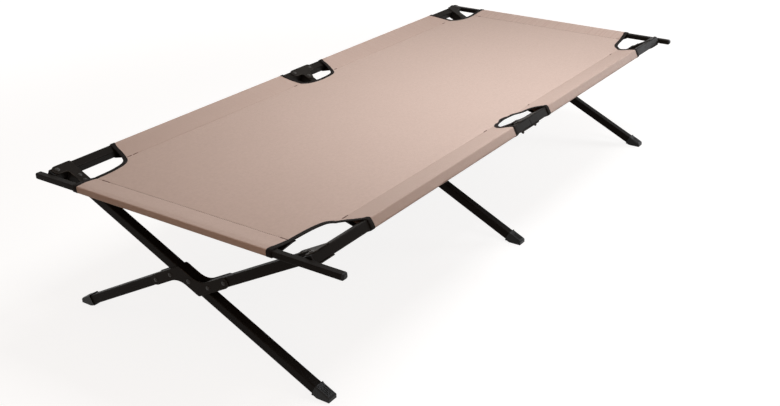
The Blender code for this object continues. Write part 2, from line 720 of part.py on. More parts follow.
def sheet_stations(seam_x):
    """Places along the sheet where its outline turns."""
    stations = {-seam_x, seam_x}
    shares = [1 - math.cos(math.pi / 2 * i / CUT_STEPS) for i in range(CUT_STEPS + 1)]
    for sign in ENDS.values():
        stations |= {sign * (BAR_X - CORNER_CUT + CORNER_CUT_ROUND * share) for share in shares}
    low, high = MIDDLE_CUT
    stations |= {low + MIDDLE_CUT_ROUND * share for share in shares}
    stations |= {high - MIDDLE_CUT_ROUND * share for share in shares}
    ordered = sorted(stations)
    spaced = [ordered[0]]
    for x in ordered[1:]:
        if x - spaced[-1] > SEAT:
            spaced.append(x)
    return spaced


def add_sheet(cot, cloth):
    """The lying surface: a loft of flat sections from the foot seam to the head seam."""
    seam_x = BAR_X + min(a for a, _ in pocket_loops()[1]) - SEAT
    near_edge = RAIL_Y - sleeve_tip(1) - SEAT
    far_edge = RAIL_Y - sleeve_tip(-1) - SEAT
    bm = bmesh.new()
    rings = []
    for x in sheet_stations(seam_x):
        near = -sheet_edge("near", x, seam_x, near_edge)
        far = sheet_edge("far", x, seam_x, far_edge)
        low = SHEET_TOP - CLOTH
        corners = [(near, SHEET_TOP), (far, SHEET_TOP), (far, low), (near, low)]
        rings.append([bm.verts.new((x, y, z)) for y, z in corners])
    bm.faces.new(rings[0])
    bm.faces.new(rings[-1][::-1])
    for here, there in zip(rings, rings[1:]):
        for i in range(4):
            bm.faces.new((here[i], here[i - 1], there[i - 1], there[i]))
    finish(add_object("cloth_sheet", bm, cot), cloth)


def main():
    for old in list(bpy.data.objects):
        bpy.data.objects.remove(old, do_unlink=True)
    materials = make_materials()
    cot = add_empty("cot", None, (0, FRAME_SHIFT, 0))
    far = add_empty("far_side", cot, (0, RAIL_Y, RAIL_HEIGHT), LEAN_FAR)
    fold_axis = add_empty("fold_axis", cot, (0, 0, PIVOT_HEIGHT))
    near = add_empty("near_side", fold_axis, (0, -RAIL_Y, RAIL_HEIGHT - PIVOT_HEIGHT), -LEAN_NEAR)
    sides = {"far": (far, -1), "near": (near, 1)}
    add_rails(sides, materials["tube_coat"])
    add_legs(sides, materials["tube_coat"])
    add_rail_plates(sides, materials["plate_coat"])
    add_stepped_plates(near, materials["plate_coat"])
    add_feet(sides, materials["black_plastic"])
    add_rail_plugs(sides, materials["black_plastic"])
    bars = {
        "foot": (FOOT_BAR_PAST_NEAR, FOOT_BAR_PAST_FAR),
        "head": (HEAD_BAR_PAST_NEAR, HEAD_BAR_PAST_FAR),
    }
    for end, (past_near, past_far) in bars.items():
        add_end_bar(end, ENDS[end], past_near, past_far, cot, materials["tube_coat"], materials["black_plastic"])
    add_sleeves(sides, materials["canvas"])
    add_pockets(cot, materials["canvas"])
    add_sheet(cot, materials["canvas"])


main()
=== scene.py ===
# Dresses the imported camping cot: cloth, bindings, stitches, rivet heads and finishes.
import json
import math

import bmesh
import bpy
from mathutils import Matrix, Vector, geometry, noise

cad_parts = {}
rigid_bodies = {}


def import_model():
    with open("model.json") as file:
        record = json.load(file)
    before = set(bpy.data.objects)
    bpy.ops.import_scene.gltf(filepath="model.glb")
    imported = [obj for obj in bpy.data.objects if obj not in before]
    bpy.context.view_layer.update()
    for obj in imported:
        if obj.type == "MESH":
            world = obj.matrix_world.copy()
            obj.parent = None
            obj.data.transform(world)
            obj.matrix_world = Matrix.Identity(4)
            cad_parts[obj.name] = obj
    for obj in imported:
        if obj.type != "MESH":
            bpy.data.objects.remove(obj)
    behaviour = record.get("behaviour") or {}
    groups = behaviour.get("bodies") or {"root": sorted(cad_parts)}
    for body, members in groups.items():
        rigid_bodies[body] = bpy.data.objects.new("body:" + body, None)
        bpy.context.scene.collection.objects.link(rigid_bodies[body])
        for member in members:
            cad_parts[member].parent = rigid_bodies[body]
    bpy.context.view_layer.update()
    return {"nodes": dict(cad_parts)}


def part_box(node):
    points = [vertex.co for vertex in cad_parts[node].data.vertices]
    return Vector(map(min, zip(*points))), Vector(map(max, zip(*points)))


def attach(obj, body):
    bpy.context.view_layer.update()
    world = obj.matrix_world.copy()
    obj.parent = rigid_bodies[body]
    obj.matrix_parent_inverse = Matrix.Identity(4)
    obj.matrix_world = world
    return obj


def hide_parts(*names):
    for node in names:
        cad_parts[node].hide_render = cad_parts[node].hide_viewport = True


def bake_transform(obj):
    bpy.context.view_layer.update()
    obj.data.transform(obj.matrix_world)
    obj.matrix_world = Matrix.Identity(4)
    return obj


for old in list(bpy.data.objects):
    bpy.data.objects.remove(old, do_unlink=True)

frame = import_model()
print("frame loaded:", len(frame["nodes"]), "nodes")


def addObject(name, data):
    obj = bpy.data.objects.new(name, data)
    bpy.context.scene.collection.objects.link(obj)
    return obj


def meshObject(name, bm, material):
    mesh = bpy.data.meshes.new(name)
    bm.to_mesh(mesh)
    bm.free()
    mesh.materials.append(material)
    return addObject(name, mesh)


# The object's mesh with its modifiers applied
def finishedMesh(obj):
    return bpy.data.meshes.new_from_object(obj.evaluated_get(bpy.context.evaluated_depsgraph_get()))


def settle(obj):
    mesh = finishedMesh(obj)
    obj.modifiers.clear()
    obj.data = mesh
    mesh.name = obj.name


# Where the frame lies

def middleOf(node):
    low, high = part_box(node)
    return (low + high) / 2


farRail = middleOf("far_rail_head")
nearRail = middleOf("near_rail_head")
headBar = middleOf("head_bar")
barLow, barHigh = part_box("head_bar")
railTube = {"half": 0.0125, "round": 0.0025}
barTube = {"halfWidth": (barHigh.x - barLow.x) / 2, "halfDepth": (barHigh.z - barLow.z) / 2, "round": 0.002}
midY = (farRail.y + nearRail.y) / 2
railY = (farRail.y - nearRail.y) / 2
railZ = farRail.z
barX = headBar.x
halfOffset = 0.0285  # a half leg's centre line beside the pivot
legLength = math.hypot(2 * railY, railZ)
leanFar = math.atan2(railZ, 2 * railY)
leanNear = leanFar + math.asin(halfOffset / (legLength / 2))
leans = {"far": leanFar, "near": leanNear}
sideSign = {"far": 1, "near": -1}
endSign = {"foot": -1, "head": 1}


# Camera, at the photograph's place

camera = {
    "place": (-2.4197, midY - 1.5864, 1.3769),
    "azimuth": -56.839,
    "elevation": 25.714,
    "roll": 0.063,
    "focalPixels": 1020.03,
    "centrePixel": (407.77, 215.62),
    "photoSize": (780, 406),
    "sensor": 36.0,
    "farClip": 100.0,
}


def addCamera():
    a, e = math.radians(camera["azimuth"]), math.radians(camera["elevation"])
    back = Vector((math.sin(a) * math.cos(e), -math.cos(a) * math.cos(e), math.sin(e)))
    right = Vector((math.cos(a), math.sin(a), 0))
    up = back.cross(right)
    turn = Matrix((right, up, back)).transposed() @ Matrix.Rotation(math.radians(camera["roll"]), 3, "Z")
    data = bpy.data.cameras.new("camera")
    width, height = camera["photoSize"]
    data.sensor_width = camera["sensor"]
    data.lens = camera["sensor"] * camera["focalPixels"] / width
    data.shift_x = (width / 2 - camera["centrePixel"][0]) / width
    data.shift_y = (camera["centrePixel"][1] - height / 2) / width
    data.clip_end = camera["farClip"]
    eye = addObject("camera", data)
    eye.matrix_world = Matrix.Translation(camera["place"]) @ turn.to_4x4()
    bpy.context.scene.camera = eye


addCamera()


# Building of node trees

# Adds a node with its settings and inputs, and gives back its outputs
def addNode(tree, kind, inputs=None, **settings):
    node = tree.nodes.new(kind)
    for name, value in settings.items():
        setattr(node, name, value)
    for name, value in (inputs or {}).items():
        if isinstance(value, bpy.types.NodeSocket):
            tree.links.new(value, node.inputs[name])
        else:
            node.inputs[name].default_value = value
    return node.outputs


# A node group with named inputs, given by a number or by the kind of socket
def newGroup(kind, name, inputs, outputs):
    tree = bpy.data.node_groups.new(name, kind + "NodeTree")
    for label, value in inputs.items():
        socket = value if isinstance(value, str) else "Float"
        made = tree.interface.new_socket(label, in_out="INPUT", socket_type="NodeSocket" + socket)
        if value != socket:
            made.default_value = value
    for label in outputs:
        socket = "Float" if kind == "Shader" else kind
        tree.interface.new_socket(label, in_out="OUTPUT", socket_type="NodeSocket" + socket)
    return tree, tree.nodes.new("NodeGroupInput").outputs, tree.nodes.new("NodeGroupOutput").inputs


def math2(tree, operation, a, b=0.0, clamp=False):
    return addNode(tree, "ShaderNodeMath", {0: a, 1: b}, operation=operation, use_clamp=clamp)[0]


def times(tree, a, b, clamp=False):
    return math2(tree, "MULTIPLY", a, b, clamp)


# Nothing up to start, then rising by gain as far as 1
def ramp(tree, value, start, gain):
    return times(tree, math2(tree, "SUBTRACT", value, start), gain, True)


# Even ridges, at so many radians to a metre
def ridges(tree, value, rate):
    return math2(tree, "ABSOLUTE", math2(tree, "SINE", times(tree, value, rate)))


def mixColor(tree, share, a, b):
    a, b = (c if isinstance(c, bpy.types.NodeSocket) else (*c, 1) for c in (a, b))
    return addNode(tree, "ShaderNodeMix", {0: share, 6: a, 7: b}, data_type="RGBA")[2]


def objectPlace(tree):
    return addNode(tree, "ShaderNodeTexCoord")["Object"]


def clothMap(tree):
    return addNode(tree, "ShaderNodeUVMap", uv_map="clothUV")[0]


def split(tree, vector):
    return addNode(tree, "ShaderNodeSeparateXYZ", {0: vector})


def noiseOn(tree, where, scale, detail):
    return addNode(tree, "ShaderNodeTexNoise", {"Vector": where, "Scale": scale, "Detail": detail})[0]


# Edges painted lighter in patches: partly rubbed bare, partly a painted highlight along the edges

edgeValues = {
    "samples": 4, "gain": 9.0, "patchScale": 60.0, "patchDetail": 5.0, "patchStart": 0.42, "patchGain": 4.0,
}


def makeEdgeWearAndHighlightGroup(look=edgeValues):
    tree, given, put = newGroup("Shader", "edgeWear", {"Radius": 0.0012, "Amount": 0.6}, ["Mask"])
    rounded = addNode(tree, "ShaderNodeBevel", {"Radius": given["Radius"]}, samples=look["samples"])[0]
    flat = addNode(tree, "ShaderNodeNewGeometry")["Normal"]
    dot = addNode(tree, "ShaderNodeVectorMath", {0: rounded, 1: flat}, operation="DOT_PRODUCT")["Value"]
    # edge mask: where the coat turns lighter, as wear and as a painted edge highlight
    edge = times(tree, math2(tree, "SUBTRACT", 1.0, dot), look["gain"], True)
    patches = noiseOn(tree, objectPlace(tree), look["patchScale"], look["patchDetail"])
    wornAndHighlight = ramp(tree, patches, look["patchStart"], look["patchGain"])
    tree.links.new(times(tree, times(tree, edge, wornAndHighlight), given["Amount"], True), put["Mask"])
    return tree


# Fine grain, broad clouds, and dust on what looks up

grainValues = {
    "fineDetail": 3.0, "cloudDetail": 6.0,
    "dustScale": 260.0, "dustDetail": 2.0, "dustStart": 0.58, "dustGain": 6.0,
}


def makeGrainGroup(look=grainValues):
    ins, outs = {"Scale": 900.0, "Cloud Scale": 14.0}, ["Height", "Clouds", "Dust"]
    tree, given, put = newGroup("Shader", "fineGrain", ins, outs)
    where = objectPlace(tree)
    specks = noiseOn(tree, where, look["dustScale"], look["dustDetail"])
    up = split(tree, addNode(tree, "ShaderNodeNewGeometry")["Normal"])["Z"]
    dust = ramp(tree, specks, look["dustStart"], look["dustGain"])
    tree.links.new(noiseOn(tree, where, given["Scale"], look["fineDetail"]), put["Height"])
    tree.links.new(noiseOn(tree, where, given["Cloud Scale"], look["cloudDetail"]), put["Clouds"])
    tree.links.new(times(tree, dust, math2(tree, "MAXIMUM", up, 0.0)), put["Dust"])
    return tree


# Plain weave, with thicker stretches of yarn that show as streaks

weaveValues = {"roundness": 0.6, "slubAlong": 14.0, "slubAcross": 700.0, "slubDetail": 2.0}


def makeWeaveGroup(look=weaveValues):
    ins, outs = {"Thread": 1400.0, "Slub": 0.5}, ["Height", "Over", "Streaks"]
    tree, given, put = newGroup("Shader", "plainWeave", ins, outs)
    flat = clothMap(tree)
    scaled = {0: flat, "Scale": given["Thread"]}
    scaled = addNode(tree, "ShaderNodeVectorMath", scaled, operation="SCALE")[0]
    parts = split(tree, scaled)
    crowns = times(tree, ridges(tree, parts[0], math.pi), ridges(tree, parts[1], math.pi))
    over = addNode(tree, "ShaderNodeTexChecker", {"Vector": scaled, "Scale": 1.0})["Fac"]
    streaks = []
    along, across = look["slubAlong"], look["slubAcross"]
    for stretch in ((along, across, 1.0), (across, along, 1.0)):
        pulled = addNode(tree, "ShaderNodeMapping", {"Vector": flat, "Scale": stretch})[0]
        streaks.append(noiseOn(tree, pulled, 1.0, look["slubDetail"]))
    streak = addNode(tree, "ShaderNodeMix", {0: over, 2: streaks[0], 3: streaks[1]})[0]
    streak = times(tree, math2(tree, "SUBTRACT", streak, 0.5), given["Slub"])
    tree.links.new(math2(tree, "POWER", crowns, look["roundness"]), put["Height"])
    tree.links.new(over, put["Over"])
    tree.links.new(math2(tree, "ADD", streak, 0.5), put["Streaks"])
    return tree


# Painted shade on the cloth beyond its seams: over the doubled sides and their sleeves, and in short
# creases that are stronger towards the head end

bandValues = {
    "foldDetail": 1.0, "foldStart": 0.46, "foldGain": 5.0, "weakAt": -0.6, "strongAt": 0.9, "weak": 0.12,
}


def makeBandShadeGroup(look=bandValues):
    ins, outs = {"End Seam": 0.92, "Side Seam": 0.34, "Spacing": 0.010}, ["Creases", "Sides"]
    tree, given, put = newGroup("Shader", "sewnBands", ins, outs)
    parts = split(tree, clothMap(tree))
    atEnd = math2(tree, "GREATER_THAN", math2(tree, "ABSOLUTE", parts[0]), given["End Seam"])
    atSide = math2(tree, "GREATER_THAN", math2(tree, "ABSOLUTE", parts[1]), given["Side Seam"])
    along = addNode(tree, "ShaderNodeMix", {0: atEnd, 2: parts[0], 3: parts[1]})[0]
    steps = math2(tree, "DIVIDE", along, given["Spacing"])
    steps = {"W": steps, "Scale": 1.0, "Detail": look["foldDetail"]}
    folds = addNode(tree, "ShaderNodeTexNoise", steps, noise_dimensions="1D")[0]
    narrow = ramp(tree, folds, look["foldStart"], look["foldGain"])
    narrow = times(tree, narrow, math2(tree, "MAXIMUM", atSide, atEnd))
    toHead = addNode(tree, "ShaderNodeMapRange", {
        "Value": parts[0], "From Min": look["weakAt"], "From Max": look["strongAt"], "To Min": look["weak"],
        "To Max": 1.0})[0]
    # short creases: painted shade of the puckers, stronger towards the head end
    tree.links.new(times(tree, narrow, toHead), put["Creases"])
    # the side bands and sleeves beyond the side seams, for painted shade
    tree.links.new(atSide, put["Sides"])
    return tree


edgeWear = makeEdgeWearAndHighlightGroup()
fineGrain = makeGrainGroup()
plainWeave = makeWeaveGroup()
sewnBands = makeBandShadeGroup()


plainSockets = {"rough": "Roughness", "specular": "Specular IOR Level", "sheen": "Sheen Weight"}


# A Principled material, with the look's plain values on the shader's own sockets
def newMaterial(name, look):
    material = bpy.data.materials.new(name)
    material.use_nodes = True
    shader = material.node_tree.nodes["Principled BSDF"].inputs
    for key, socket in plainSockets.items():
        if key in look:
            shader[socket].default_value = look[key]
    return material, material.node_tree, shader


def placeGroup(tree, group, inputs):
    node = tree.nodes.new("ShaderNodeGroup")
    node.node_tree = group
    for name, value in inputs.items():
        node.inputs[name].default_value = value
    return node.outputs


def addColorAndBump(tree, shader, color, height, look):
    tree.links.new(color, shader["Base Color"])
    values = {"Height": height, "Strength": look["bump"], "Distance": look["bumpDepth"]}
    tree.links.new(addNode(tree, "ShaderNodeBump", values)[0], shader["Normal"])


# Powder coat: deep colour, orange-peel grain, dust on top faces, and lighter edges that are partly rubbed
# wear and partly a painted edge highlight
def coatedMetal(name, look):
    material, tree, shader = newMaterial(name, look)
    grain = placeGroup(tree, fineGrain, {"Scale": look["grainScale"], "Cloud Scale": look["cloudScale"]})
    wornAndHighlight = placeGroup(tree, edgeWear, {"Radius": look["wearAndHighlightRadius"], "Amount": look["wearAndHighlight"]})["Mask"]
    color = mixColor(tree, grain["Clouds"], look["deep"], look["light"])
    color = mixColor(tree, times(tree, grain["Dust"], look["dust"]), color, look["dustColor"])
    # edges mixed to a lighter colour: rubbed wear together with a painted edge highlight
    color = mixColor(tree, wornAndHighlight, color, look["wornAndHighlightColor"])
    rough = math2(tree, "ADD", times(tree, grain["Clouds"], look["roughSpread"]), look["rough"])
    tree.links.new(rough, shader["Roughness"])
    if look["wornAndHighlightMetal"]:
        tree.links.new(times(tree, wornAndHighlight, look["wornAndHighlightMetal"]), shader["Metallic"])
    addColorAndBump(tree, shader, color, grain["Height"], look)
    return material


coatBase = {"roughSpread": 0.14, "dust": 0.04, "dustColor": (0.11, 0.10, 0.09), "bumpDepth": 0.0002}
finishes = {
    "tubeCoat": {
        "deep": (0.0064, 0.0050, 0.0039), "light": (0.0118, 0.0094, 0.0074), "specular": 0.042,
        "rough": 0.42, "grainScale": 1300.0, "cloudScale": 16.0, "bump": 0.35,
        "wearAndHighlightRadius": 0.0012, "wearAndHighlight": 0.70, "wornAndHighlightColor": (0.120, 0.102, 0.086), "wornAndHighlightMetal": 0.3,
    },
    "plateCoat": {
        "deep": (0.0110, 0.0092, 0.0075), "light": (0.0195, 0.0165, 0.0136), "specular": 0.045,
        "rough": 0.38, "roughSpread": 0.18, "grainScale": 1100.0, "cloudScale": 28.0, "bump": 0.28,
        "wearAndHighlightRadius": 0.0013, "wearAndHighlight": 0.85, "wornAndHighlightColor": (0.20, 0.175, 0.15), "wornAndHighlightMetal": 0.4,
    },
    # rivet heads: strongly lighter rims, partly wear and partly a painted highlight
    "rivetCoat": {
        "deep": (0.017, 0.0145, 0.012), "light": (0.029, 0.0250, 0.021), "specular": 0.22,
        "rough": 0.20, "roughSpread": 0.16, "grainScale": 1500.0, "cloudScale": 60.0, "bump": 0.18,
        "wearAndHighlightRadius": 0.0009, "wearAndHighlight": 0.9, "wornAndHighlightColor": (0.30, 0.27, 0.24), "wornAndHighlightMetal": 0.6, "dust": 0.02,
    },
    "blackPlastic": {
        "deep": (0.0062, 0.0060, 0.0060), "light": (0.0105, 0.0102, 0.0102), "specular": 0.16,
        "rough": 0.30, "grainScale": 2100.0, "cloudScale": 34.0, "bump": 0.5,
        "wearAndHighlightRadius": 0.0008, "wearAndHighlight": 0.4, "wornAndHighlightColor": (0.055, 0.055, 0.055), "wornAndHighlightMetal": 0.0,
        "dust": 0.10, "dustColor": (0.13, 0.12, 0.11),
    },
}
coats = {name: coatedMetal(name, coatBase | look) for name, look in finishes.items()}

canvasLook = {
    "shade": (0.490, 0.365, 0.303), "warp": (0.646, 0.502, 0.431), "weft": (0.607, 0.467, 0.397),
    # painted shade for the side bands and sleeves, and its share
    "paintedBandShade": (0.360, 0.262, 0.212), "paintedBandShadeShare": 0.30,
    "rough": 0.70, "specular": 0.45, "sheen": 0.06, "bump": 0.45, "bumpDepth": 0.0003,
    "thread": 1350.0, "slub": 1.1, "streakShare": 0.55, "gapShadeShare": 0.22,
    "cloudScale": 5.0, "cloudStart": 0.45, "cloudShare": 0.35,
    "mottleScale": 120.0, "mottleStart": 0.36, "mottleShare": 1.1,
    # painted shade of the creases: spacing, share and colour
    "paintedCreaseShadeShare": 0.36, "creaseSpacing": 0.0090, "paintedCreaseShade": (0.46, 0.285, 0.235),
}
backLook = {
    "shade": (0.250, 0.185, 0.148), "warp": (0.315, 0.240, 0.195), "weft": (0.300, 0.228, 0.185),
    "rough": 0.66,
}


def makeCanvas(name, look):
    material, tree, shader = newMaterial(name, look)
    weave = placeGroup(tree, plainWeave, {"Thread": look["thread"], "Slub": look["slub"]})
    sewn = {"End Seam": seamX, "Side Seam": seamY, "Spacing": look["creaseSpacing"]}
    bandShade = placeGroup(tree, sewnBands, sewn)
    clouds = placeGroup(tree, fineGrain, {"Cloud Scale": look["cloudScale"]})["Clouds"]
    mottle = placeGroup(tree, fineGrain, {"Cloud Scale": look["mottleScale"]})["Clouds"]
    # painted shade in the gaps between threads
    gapShade = math2(tree, "SUBTRACT", 1.0, weave["Height"])
    layers = (
        (times(tree, weave["Streaks"], look["streakShare"]), "shade"),
        (times(tree, gapShade, look["gapShadeShare"]), "shade"),
        # painted shade over the side bands and sleeves
        (times(tree, bandShade["Sides"], look["paintedBandShadeShare"]), "paintedBandShade"),
        # painted crease shade
        (times(tree, bandShade["Creases"], look["paintedCreaseShadeShare"]), "paintedCreaseShade"),
        (ramp(tree, clouds, look["cloudStart"], look["cloudShare"]), "shade"),
        (ramp(tree, mottle, look["mottleStart"], look["mottleShare"]), "shade"),
    )
    color = mixColor(tree, weave["Over"], look["warp"], look["weft"])
    for share, tone in layers:
        color = mixColor(tree, share, color, look[tone])
    addColorAndBump(tree, shader, color, weave["Height"], look)
    return material


tapeLook = {
    "rough": 0.78, "specular": 0.08, "ribs": 2600.0, "yarns": 4200.0, "ribShare": 0.7,
    "deep": (0.0042, 0.0034, 0.0029), "light": (0.0125, 0.0100, 0.0085),
    "cast": (0.0095, 0.0068, 0.0055), "castShare": 0.4, "castScale": 30.0, "bump": 0.6, "bumpDepth": 0.0003,
}


# Ribbed binding: fine ribs along the tape, painted lighter on their crests and darker between them, as
# painted highlight and painted shade
def makeTapeMaterial(look):
    material, tree, shader = newMaterial("bindingTape", look)
    parts = split(tree, clothMap(tree))
    ribs = times(tree, ridges(tree, parts[0], look["ribs"]), look["ribShare"])
    yarns = times(tree, ridges(tree, parts[1], look["yarns"]), 1 - look["ribShare"])
    height = math2(tree, "ADD", ribs, yarns)
    clouds = placeGroup(tree, fineGrain, {"Cloud Scale": look["castScale"]})["Clouds"]
    # colour by rib height: painted shade in the troughs, painted highlight on the crests
    color = mixColor(tree, height, look["deep"], look["light"])
    color = mixColor(tree, times(tree, clouds, look["castShare"]), color, look["cast"])
    addColorAndBump(tree, shader, color, height, look)
    return material


threadLook = {
    "rough": 0.6, "specular": 0.3, "fibre": 2600.0, "cloudScale": 45.0, "bump": 0.4, "bumpDepth": 0.0002,
}
threadColors = {
    "seamThread": ((0.30, 0.18, 0.14), (0.42, 0.28, 0.22)),
    # pocket seam thread: thread colour darkened with painted shade of its stitch holes
    "pocketThread": ((0.12, 0.068, 0.052), (0.20, 0.118, 0.090)),
    "tackThread": ((0.085, 0.040, 0.030), (0.150, 0.075, 0.057)),
    "darkThread": ((0.010, 0.0085, 0.0075), (0.021, 0.018, 0.0155)),
}


def makeThreadMaterial(name, deep, light, look=threadLook):
    material, tree, shader = newMaterial(name, look)
    grain = placeGroup(tree, fineGrain, {"Scale": look["fibre"], "Cloud Scale": look["cloudScale"]})
    addColorAndBump(tree, shader, mixColor(tree, grain["Clouds"], deep, light), grain["Height"], look)
    return material


bindingTape = makeTapeMaterial(tapeLook)
threads = {name: makeThreadMaterial(name, *colors) for name, colors in threadColors.items()}
print("materials made")


# Finishes of the CAD pieces

edges = {
    "tubeCoat": 0.0004, "plateCoat": 0.0005, "blackPlastic": 0.0004, "segments": 2, "angle": 30,
    "weld": 0.00001,
}


def coatOf(name):
    if "cap" in name or "plug" in name:
        return "blackPlastic"
    return "plateCoat" if "bracket" in name or "plate" in name else "tubeCoat"


def finishNodes():
    for name, node in frame["nodes"].items():
        if "cloth" in name:
            continue
        node.data.materials.clear()
        node.data.materials.append(coats[coatOf(name)])
        weld = node.modifiers.new("join", "WELD")
        weld.merge_threshold = edges["weld"]
        bevel = node.modifiers.new("edges", "BEVEL")
        bevel.width = edges[coatOf(name)]
        bevel.segments = edges["segments"]
        bevel.limit_method = "ANGLE"
        bevel.angle_limit = math.radians(edges["angle"])
        bevel.harden_normals = True


finishNodes()
print("CAD pieces finished")


# Cloth: one sheet with a sleeve round each half rail and a pocket round each end bar

cloth = {
    "thick": 0.0012,
    "gap": 0.0003,
    "seam": 0.063,  # from the centre lines of rails and bars
    "hem": 0.010,
    "hemGap": 0.0002,
    "bend": 0.004,  # softness of the fold at a seam
    "sag": 0.002,
    "seamDip": 0.0006,
    "seamDipWidth": 0.0028,
    "ripple": 0.0009,
    "slackRise": 3,  # how soon the ripples reach their full height, in from the rails
    "slackLeast": 0.1,
    "fadeWidth": 0.03,  # all unevenness fades out this close to rails and bars
    "foldReach": 0.33,  # beyond this, out from the middle line, the cloth follows its own frame
    "stationStep": 0.016,
    "stationGap": 0.0016,  # the least between two stations
    "seamStations": (-0.012, -0.007, -0.0035, -0.0015, 0.0, 0.0015, 0.0035, 0.007, 0.012),
    "rowStep": 0.020,
    "rowsTo": 0.260,
    # shares of the way to the seam, then from it to the edge
    "innerRows": (0.28, 0.52, 0.72, 0.86, 0.94, 0.975, 1.0),
    "outerRows": (0.03, 0.07, 0.13, 0.22, 0.36, 0.54, 0.76, 0.982, 1.0),
    "edgeRoom": 0.004,
    "wrapStep": 0.007,
    "crease": 0.0012,  # extra line beside each bend, so that it stays crisp
    "creaseFrom": 0.005,  # on stretches longer than this
    "cutStep": 0.005,
    "cutLeast": 0.0002,
    "normalStep": 0.002,
    "roundOff": 1e-6,  # allowed where places are compared
}
# Small puckers at the seams, and short folds across the upper side of sleeves and pockets
puckers = {"height": 0.00025, "length": 0.013, "drift": 40, "seed": 7.3, "width": 0.010}
pulls = {
    "height": 0.0005, "length": 0.015, "drift": 9, "seed": 3.1, "from": 0.022, "width": 0.024,
    "side": 0.5, "foot": 0.35, "head": 1.0,
}
# Slack ripples: over the whole sheet, in a strip by the rails, and in a strip by the bars
slackRipples = (
    {"along": 3.1, "across": 7.7, "seed": 2.4, "share": 0.7},
    {"along": 2.3, "across": 24.0, "seed": 9.1, "share": 0.5, "byRails": 0.13},
    {"along": 26.0, "across": 3.0, "seed": 5.5, "share": 0.4, "byBars": 0.12},
)
# Cloth drawn along its rail beside a cut-out that swings further out than the sleeve's end
flare = {"cuts": {"middle_near": 0.019}, "from": 0.362, "over": 0.035, "reach": 0.05}
# Edges of the cut-outs, from rail to bar or from rail to rail: along the cot, and out from its middle line
cutPoints = {
    "foot_far": [(-0.779, 0.407), (-0.807, 0.331), (-0.863, 0.308), (-0.947, 0.304), (-0.985, 0.296)],
    "foot_near": [(-0.777, 0.407), (-0.802, 0.337), (-0.836, 0.318), (-0.914, 0.312), (-0.985, 0.315)],
    "head_far": [
        (0.791, 0.407), (0.812, 0.356), (0.830, 0.327), (0.872, 0.311), (0.929, 0.310), (0.985, 0.307)],
    "head_near": [
        (0.788, 0.407), (0.802, 0.355), (0.824, 0.330), (0.854, 0.314), (0.920, 0.303), (0.985, 0.294)],
    "middle_far": [
        (-0.082, 0.407), (-0.080, 0.375), (-0.074, 0.353), (-0.063, 0.334), (-0.042, 0.324), (0.001, 0.319),
        (0.064, 0.329), (0.094, 0.374), (0.104, 0.407)],
    "middle_near": [
        (-0.1012, 0.407), (-0.1010, 0.392), (-0.0967, 0.380), (-0.0918, 0.372), (-0.0855, 0.362),
        (-0.0785, 0.353), (-0.068, 0.3465), (-0.054, 0.341), (-0.035, 0.3375), (-0.009, 0.336),
        (0.030, 0.342), (0.055, 0.360), (0.094, 0.373), (0.104, 0.407)],
}


# How far along the line each of its points lies
def lengthsAlong(line):
    lengths = [0.0]
    for a, b in zip(line, line[1:]):
        lengths.append(lengths[-1] + (Vector(b) - Vector(a)).length)
    return lengths


# Points along a smooth line through the given ones
def smoothLine(points, step):
    ends = [Vector(p) for p in points]
    padded = [2 * ends[0] - ends[1]] + ends + [2 * ends[-1] - ends[-2]]
    made = [ends[0].copy()]
    for a, b, c, d in zip(padded, padded[1:], padded[2:], padded[3:]):
        count = max(1, round((c - b).length / step))
        for i in range(1, count + 1):
            t = i / count
            made.append(0.5 * (2 * b + (c - a) * t + (2 * a - 5 * b + 4 * c - d) * t * t
                               + (3 * b - a - 3 * c + d) * t ** 3))
    return made


# The tight line round some points, from the one furthest left and lowest
def hullOf(points, digits=7):
    points = [Vector((round(p[0], digits), round(p[1], digits))) for p in points]
    ring = [points[i] for i in geometry.convex_hull_2d(points)]
    first = ring.index(min(ring, key=tuple))
    return ring[first:] + ring[:first]


def boxOutline(halfA, halfB, rounding, grow, lean, steps=4):
    points = []
    for turn, (a, b) in enumerate(((1, 1), (-1, 1), (-1, -1), (1, -1))):
        corner = Vector((a * (halfA - rounding), b * (halfB - rounding)))
        for i in range(steps + 1):
            angle = math.radians(90 * turn + 90 * i / steps)
            points.append(corner + (rounding + grow) * Vector((math.cos(angle), math.sin(angle))))
    return [Matrix.Rotation(lean, 2) @ p for p in points]


# From where the cloth meets a tube's top, round the tube to the seam below the sheet, then along the hem
def wrapLine(outline):
    below = -cloth["thick"] - cloth["hemGap"]
    ring = hullOf(outline + [Vector((-cloth["seam"], 0)), Vector((-cloth["seam"], below))])
    line = ring[-2::-1]
    line.append(line[-1] + Vector((-cloth["hem"], -cloth["hemGap"])))
    fine = [line[0]]
    for a, b in zip(line, line[1:]):
        length = (b - a).length
        count = max(1, math.ceil(length / cloth["wrapStep"]))
        shares = [k / count for k in range(1, count + 1)]
        if length > cloth["creaseFrom"]:
            shares += [cloth["crease"] / length, 1 - cloth["crease"] / length]
        fine += [a.lerp(b, share) for share in sorted(shares)]
    return fine


halfCloth = cloth["thick"] / 2
standOff = cloth["gap"] + halfCloth
seamY = railY - cloth["seam"]
seamX = barX - cloth["seam"]
railLines, topY, rise = {}, {}, {}
for sideName, lean in leans.items():
    line = wrapLine(boxOutline(railTube["half"], railTube["half"], railTube["round"], standOff, lean))
    railLines[sideName] = line
    topY[sideName] = railY + line[0].x
    rise[sideName] = line[0].y / (line[0].x + cloth["seam"])
barLine = wrapLine(boxOutline(barTube["halfWidth"], barTube["halfDepth"], barTube["round"], standOff, 0))
topX = barX + barLine[0].x
rise["bar"] = barLine[0].y / (barLine[0].x + cloth["seam"])


def sideOf(y):
    return "far" if y > 0 else "near"


def from0to1(value):
    return min(1.0, max(0.0, value))


def bell(distance, width):
    return math.exp(-((distance / width) ** 2))


